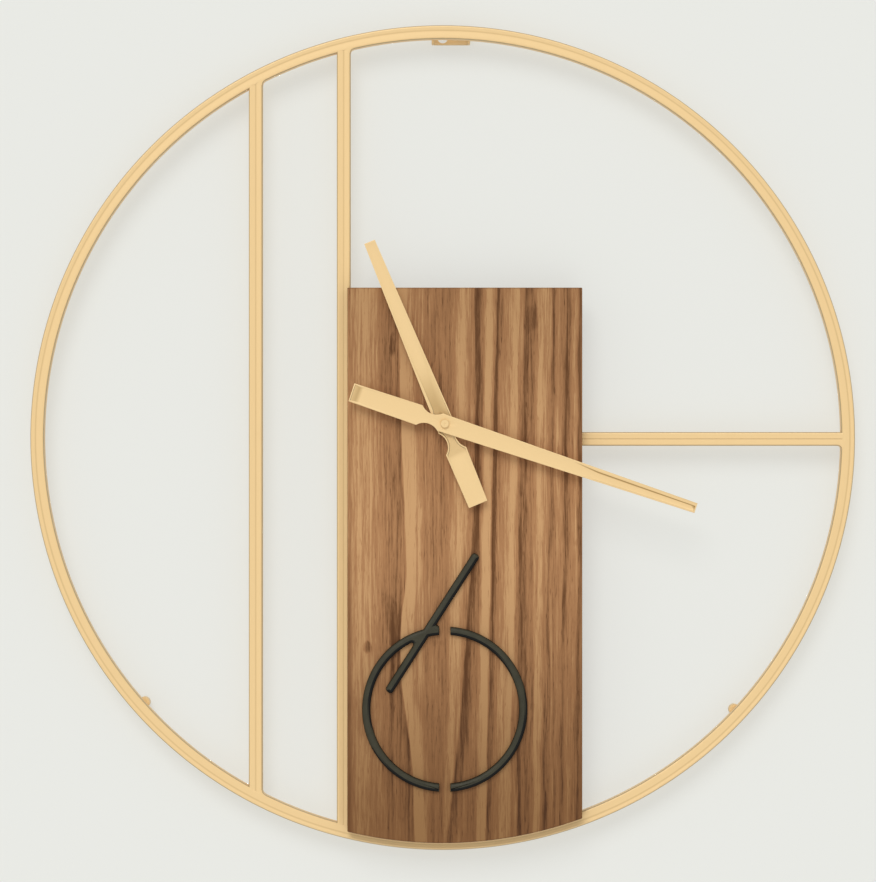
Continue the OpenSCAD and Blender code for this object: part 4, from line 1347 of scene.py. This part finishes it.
class CLOCK_OT_case(bpy.types.Operator):
    """Mould the movement's case and its rear cover"""
    bl_idname = "clock.case"
    bl_label = "Movement case"

    def execute(self, context):
        self.tray(context.scene.clock_sizes.case_round)
        self.cover(context.scene.clock_sizes.case_round)
        return {"FINISHED"}

    def tray(self, corner):
        """The open tray with a room for the train and a bay for the battery."""
        side = 1.4 * MM
        room_f = CASE_LO.y + 1.6 * MM
        shelf = COVER_LO.z
        obj = rounded_slab("movement_tray", CASE_LO, CASE_HI, corner)
        round_edges(obj, 0.5 * MM, 3, 60)
        room = rounded_slab("room", (CASE_LO.x + side, room_f, shelf + 1.1 * MM),
                            (CASE_HI.x - side, CASE_HI.y + MM, CASE_HI.z - side), 0.6 * MM, 2)
        combine(obj, room)
        bay = rounded_slab("bay", (CASE_LO.x + side, CASE_LO.y + 0.8 * MM, CASE_LO.z + side),
                           (CASE_HI.x - side, CASE_HI.y + MM, shelf), 0.6 * MM, 2)
        combine(obj, bay)
        thumb = rod("thumb", 9 * MM, 0, 30 * MM, 0, 0, 48)
        place(thumb, Matrix.Translation((HUB.x, CASE_HI.y + 4.5 * MM, CASE_LO.z - 15 * MM))
              @ Matrix.Rotation(pi / 2, 4, "X"))
        combine(obj, thumb)
        combine(obj, rod("bush_hole", 3.92 * MM, CASE_LO.y - MM, room_f + MM, HUB.x, HUB.z))
        combine(obj, rod("flange", 5.52 * MM, room_f - 0.6 * MM, room_f + MM, HUB.x, HUB.z))
        seat(obj, "frame", "case_plastic", "case_front", angle=40)
        even_shading(obj)

    def cover(self, corner):
        """The flat rear cover with its latches, a ring round the knob, and plus and minus marks."""
        front = CASE_HI.y
        back = COVER_HI.y
        knob = axis_of(*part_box("setting_knob"))
        obj = block("movement_cover", (COVER_LO.x, front, COVER_LO.z), COVER_HI)
        with editing(obj, "EDGE"):
            pick(obj, "EDGE", lambda mid, way: abs(way.y) > 0.99 and mid.z > COVER_HI.z - MM)
            bpy.ops.mesh.bevel(offset=corner, segments=6, affect="EDGES")
        round_edges(obj, 0.4 * MM, 3, 60)
        ring = ((6.3, -0.3), (6.3, 0.45), (6.5, 0.6), (7.1, 0.6), (7.3, 0.45), (7.3, -0.3))
        section = [(r * MM, back + y * MM) for r, y in ring]
        combine(obj, turned("knob_ring", section, knob, 64), "UNION")
        bar = 1.6 * MM
        thin = 0.35 * MM
        low = back - 0.2 * MM
        high = back + 0.25 * MM
        mark_z = COVER_LO.z + 4 * MM
        plus = COVER_HI.x - 6 * MM
        minus = COVER_LO.x + 6 * MM
        for x, wide, tall in ((plus, bar, thin), (plus, thin, bar), (minus, bar, thin)):
            mark = block("mark", (x - wide, low, mark_z - tall), (x + wide, high, mark_z + tall))
            combine(obj, mark, "UNION")
        latch = 3.5 * MM
        for x in (COVER_LO.x + 15 * MM, COVER_HI.x - 15 * MM):
            notch = rounded_slab("latch", (x - latch, back - 0.5 * MM, COVER_HI.z - 2.4 * MM),
                                 (x + latch, back + MM, COVER_HI.z + MM), 0.6 * MM, 2)
            combine(obj, notch)
        arbors = ((0, 0), (10.34, 3.76), (-7.78, 7.78), (-10.86, 16.24))
        places = [Matrix.Translation(HUB + Vector((x * MM, 0, z * MM))) for x, z in arbors]
        boss = ((0.56, -1.8), (1.6, -1.8), (1.6, 0.2), (0.56, 0))
        section = [(r * MM, front + y * MM) for r, y in boss]
        for tool in copies(turned("boss", section, Vector(), 32), places):
            combine(obj, tool, "UNION")
        combine(obj, rod("stem_hole", 1.46 * MM, front - MM, back + MM, knob.x, knob.z, 40))
        seat(obj, "frame", "case_plastic", "case_back", angle=40)
        even_shading(obj)


class CLOCK_OT_bush(bpy.types.Operator):
    """Turn the threaded bush with its nut, washer and gasket"""
    bl_idname = "clock.bush"
    bl_label = "Bush, nut and washers"

    def execute(self, context):
        self.thread()
        self.nut()
        washer = polish("bush_washer", "brass_washer", 0.15 * MM)
        seat(washer, "frame", "brass", "bush_washer")
        gasket = polish("rubber_gasket", "soft_gasket", 0.2 * MM)
        seat(gasket, "frame", "rubber", "rubber_gasket")
        return {"FINISHED"}

    def thread(self):
        """The bush, with thread ridges on the length that shows and a flange in the case."""
        low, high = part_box("threaded_bush")
        bore = 2.56 * MM
        outer = 3.9 * MM
        root = 3.62 * MM
        flange = 5.5 * MM
        pitch = 0.5 * MM
        ease = 0.2 * MM
        first = low.y + 0.25 * MM
        step = high.y - 0.6 * MM
        turns = int((high.y - low.y - 4 * MM) / pitch)
        points = [(bore, high.y), (bore, low.y + ease), (bore + ease, low.y), (root - ease / 2, low.y)]
        for i in range(turns):
            start = first + i * pitch
            points += [(root, start), (outer, start + pitch / 2)]
        points += [(root, first + turns * pitch), (outer, step), (flange, step), (flange, high.y)]
        seat(turned("brass_bush", points, HUB, 48), "frame", "brass", "threaded_bush", angle=40)

    def nut(self):
        """A flat hexagon nut with eased corners."""
        low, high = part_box("bush_nut")
        radius = (high.x - low.x) / 2
        flat = radius * cos(pi / 6)
        outside = radius + 0.05 * MM
        obj = rod("brass_nut", radius, low.y, high.y, HUB.x, HUB.z, 6)
        place(obj, Matrix.Translation(HUB) @ Matrix.Rotation(pi / 6, 4, "Y") @ Matrix.Translation(-HUB))
        ease = [(0, low.y), (flat - 0.2 * MM, low.y), (outside, low.y + 0.6 * MM),
                (outside, high.y - 0.3 * MM), (flat, high.y), (0, high.y)]
        combine(obj, turned("ease", ease, HUB, 72), "INTERSECT")
        combine(obj, rod("bore", 3.92 * MM, low.y - MM, high.y + MM, HUB.x, HUB.z, 48))
        seat(obj, "frame", "brass", "bush_nut", angle=25)


class CLOCK_OT_battery(bpy.types.Operator):
    """Make the battery and its two contacts"""
    bl_idname = "clock.battery"
    bl_label = "Battery and contacts"

    def execute(self, context):
        low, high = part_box("battery")
        r = (high.z - low.z) / 2
        mid_y = (low.y + high.y) / 2
        mid_z = (low.z + high.z) / 2
        start = low.x
        end = high.x
        shoulder = end - MM
        gasket = shoulder - 0.5 * MM
        rim = shoulder - 0.15 * MM
        section = [
            (start + 0.35 * MM, 0), (start + 0.35 * MM, 0.62 * r), (start, 0.66 * r), (start, r - 0.7 * MM),
            (start + 0.2 * MM, r - 0.2 * MM), (start + 0.7 * MM, r), (shoulder - 1.3 * MM, r),
            (gasket, r - 0.25 * MM), (rim, r - 0.8 * MM), (rim, 0.62 * r), (gasket, 0.58 * r),
            (gasket, 2.75 * MM), (shoulder, 2.7 * MM), (end - 0.25 * MM, 2.6 * MM), (end, 2.3 * MM), (end, 0),
        ]
        obj = outline("battery_cell", [(x, mid_y, mid_z + h) for x, h in section], False)
        whirl(obj, (0, mid_y, mid_z), (1, 0, 0), 64)
        seat(obj, "battery_group", "battery_wrap", "battery", angle=30)
        for node, name in (("contact_positive", "contact_button"), ("contact_negative", "contact_spring")):
            seat(polish(node, name, 0.12 * MM), "frame", "contact_plate", node)
        return {"FINISHED"}


class CLOCK_OT_knob(bpy.types.Operator):
    """Turn the setting knob with its ribbed edge"""
    bl_idname = "clock.knob"
    bl_label = "Setting knob"

    def execute(self, context):
        low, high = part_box("setting_knob")
        axis = axis_of(low, high)
        r = (high.x - low.x) / 2
        back = high.y
        floor = back - 0.4 * MM
        above = back + MM
        obj = merged("setting_knob", "knob")
        dish = [(0, floor), (r - 1.6 * MM, floor), (r - 1.2 * MM, above), (0, above)]
        combine(obj, turned("dish", dish, axis, 64))
        arrow = block("pointer", (axis.x - 0.4 * MM, back - 0.7 * MM, axis.z - 2.6 * MM),
                      (axis.x + 0.4 * MM, back - 0.12 * MM, axis.z + 2.6 * MM))
        combine(obj, arrow, "UNION")
        clear_slivers(round_edges(obj, 0.1 * MM, 2))
        seat(obj, "knob_group", "case_plastic", "setting_knob", angle=25)
        return {"FINISHED"}


class CLOCK_OT_works(bpy.types.Operator):
    """Give the wheels, motor and board inside the case their finishes"""
    bl_idname = "clock.works"
    bl_label = "Train, motor and board"

    def execute(self, context):
        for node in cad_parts.values():
            if node.hide_render:
                continue
            for slot in node.material_slots:
                slot.material = finish(slot.material.name.split(".")[0])
        return {"FINISHED"}


# Stage

class CLOCK_OT_stage(bpy.types.Operator):
    """Set up the backdrop, the lamps and the camera"""
    bl_idname = "clock.stage"
    bl_label = "Stage"

    def execute(self, context):
        s = context.scene.clock_stage
        context.scene.view_settings.view_transform = "Standard"
        self.backdrop()
        self.sky(context.scene, s)
        self.lamp("key_lamp", s.key, 30, Vector((-0.35, -1.60, 1.20)))
        self.lamp("fill_lamp", s.fill, 45, Vector((0.15, -1.60, -0.85)))
        self.lamp("back_lamp", s.back, 12, Vector((0, 2.0, 0)))
        camera = bpy.data.cameras.new("camera")
        camera.lens = s.lens
        camera.sensor_width = 36
        aside = -3.4 * MM
        drop = 2.5 * MM
        eye = bpy.data.objects.new("camera", camera)
        eye.location = (aside, -s.distance, RING_Z - drop)
        eye.rotation_euler = (pi / 2, 0, 0)
        context.scene.collection.objects.link(eye)
        context.scene.camera = eye
        return {"FINISHED"}

    def backdrop(self):
        """A plain pale wall that is seen only from the front."""
        stage = bpy.context.scene.clock_stage
        rest()
        bpy.ops.mesh.primitive_plane_add(size=12, location=(0, 0.4 * MM, RING_Z), rotation=(pi / 2, 0, 0))
        wall = fresh("backdrop")
        f = Finish("wall_finish")
        cloud = f.noise(f.at(), 0.004, 3)
        base = tuple(stage.wall)
        f.set("Base Color", f.mix(cloud * 0.5, base, shaded(base, 0.97)))
        f.set("Roughness", 0.9)
        kinds = ("Camera", "Glossy", "Transmission")
        rays = [f.node("ShaderNodeLightPath", out=f"Is {kind} Ray") for kind in kinds]
        seen = (rays[0] + rays[1] + rays[2]) * stage.glow
        glow = f.node("ShaderNodeEmission", None, {"Color": base})
        front = f.node("ShaderNodeMixShader", None, {0: seen, 1: Wire(f, f.shader.outputs[0]), 2: glow})
        clear = f.node("ShaderNodeBsdfTransparent")
        behind = f.node("ShaderNodeNewGeometry", out="Backfacing")
        both = f.node("ShaderNodeMixShader", None, {0: behind, 1: front, 2: clear})
        f.feed(f.output.inputs[0], both)
        wall.data.materials.append(f.material)
        wall.visible_diffuse = False
        wall.visible_shadow = False

    def sky(self, scene, stage):
        """Pale light from all round, a little stronger from below and weaker from behind."""
        world = bpy.data.worlds.new("sky")
        world.use_nodes = True
        t = Tree(world.node_tree)
        y, z = t.split(t.node("ShaderNodeTexCoord", out="Generated"))[1:]
        rise = (z + 1) * (0.5 * (stage.sky_high - stage.sky_low)) + stage.sky_low
        light = world.node_tree.nodes["Background"]
        t.feed(light.inputs["Strength"], rise * t.band(y, 0, 0.5, 1, stage.sky_behind))
        light.inputs["Color"].default_value = (1, 1, 0.99, 1)
        scene.world = world

    def lamp(self, name, strength, spread, offset):
        """A soft far lamp that shines towards the ring's centre."""
        data = bpy.data.lights.new(name, "SUN")
        data.energy = strength
        data.angle = radians(spread)
        obj = bpy.data.objects.new(name, data)
        obj.location = CENTRE + offset
        obj.rotation_euler = offset.to_track_quat("Z", "Y").to_euler()
        obj.visible_glossy = offset.y < 0
        bpy.context.scene.collection.objects.link(obj)


STEPS = (
    CLOCK_OT_ring, CLOCK_OT_bars, CLOCK_OT_welds, CLOCK_OT_fixings, CLOCK_OT_screws, CLOCK_OT_panel,
    CLOCK_OT_numeral, CLOCK_OT_hands, CLOCK_OT_case, CLOCK_OT_bush, CLOCK_OT_battery, CLOCK_OT_knob,
    CLOCK_OT_works, CLOCK_OT_stage,
)
GROUPS = {"clock_sizes": ClockSizes, "clock_colours": ClockColours, "clock_stage": ClockStage}


class CLOCK_PT_steps(bpy.types.Panel):
    """The clock's pieces, sizes and colours"""
    bl_idname = "CLOCK_PT_steps"
    bl_label = "Wall clock"
    bl_space_type = "VIEW_3D"
    bl_region_type = "UI"
    bl_category = "Clock"

    def draw(self, context):
        for step in STEPS:
            self.layout.operator(step.bl_idname)
        for name, group in GROUPS.items():
            box = self.layout.box()
            for key in group.__annotations__:
                box.prop(getattr(context.scene, name), key)


def register():
    for group in GROUPS.values():
        bpy.utils.register_class(group)
    for name, group in GROUPS.items():
        setattr(bpy.types.Scene, name, PointerProperty(type=group))
    for step in STEPS:
        bpy.utils.register_class(step)
    bpy.utils.register_class(CLOCK_PT_steps)


def unregister():
    bpy.utils.unregister_class(CLOCK_PT_steps)
    for step in reversed(STEPS):
        bpy.utils.unregister_class(step)
    for name, group in GROUPS.items():
        delattr(bpy.types.Scene, name)
        bpy.utils.unregister_class(group)


def main():
    register()
    for step in STEPS:
        family, action = step.bl_idname.split(".")
        getattr(getattr(bpy.ops, family), action)()
    rest()


if __name__ == "__main__":
    main()
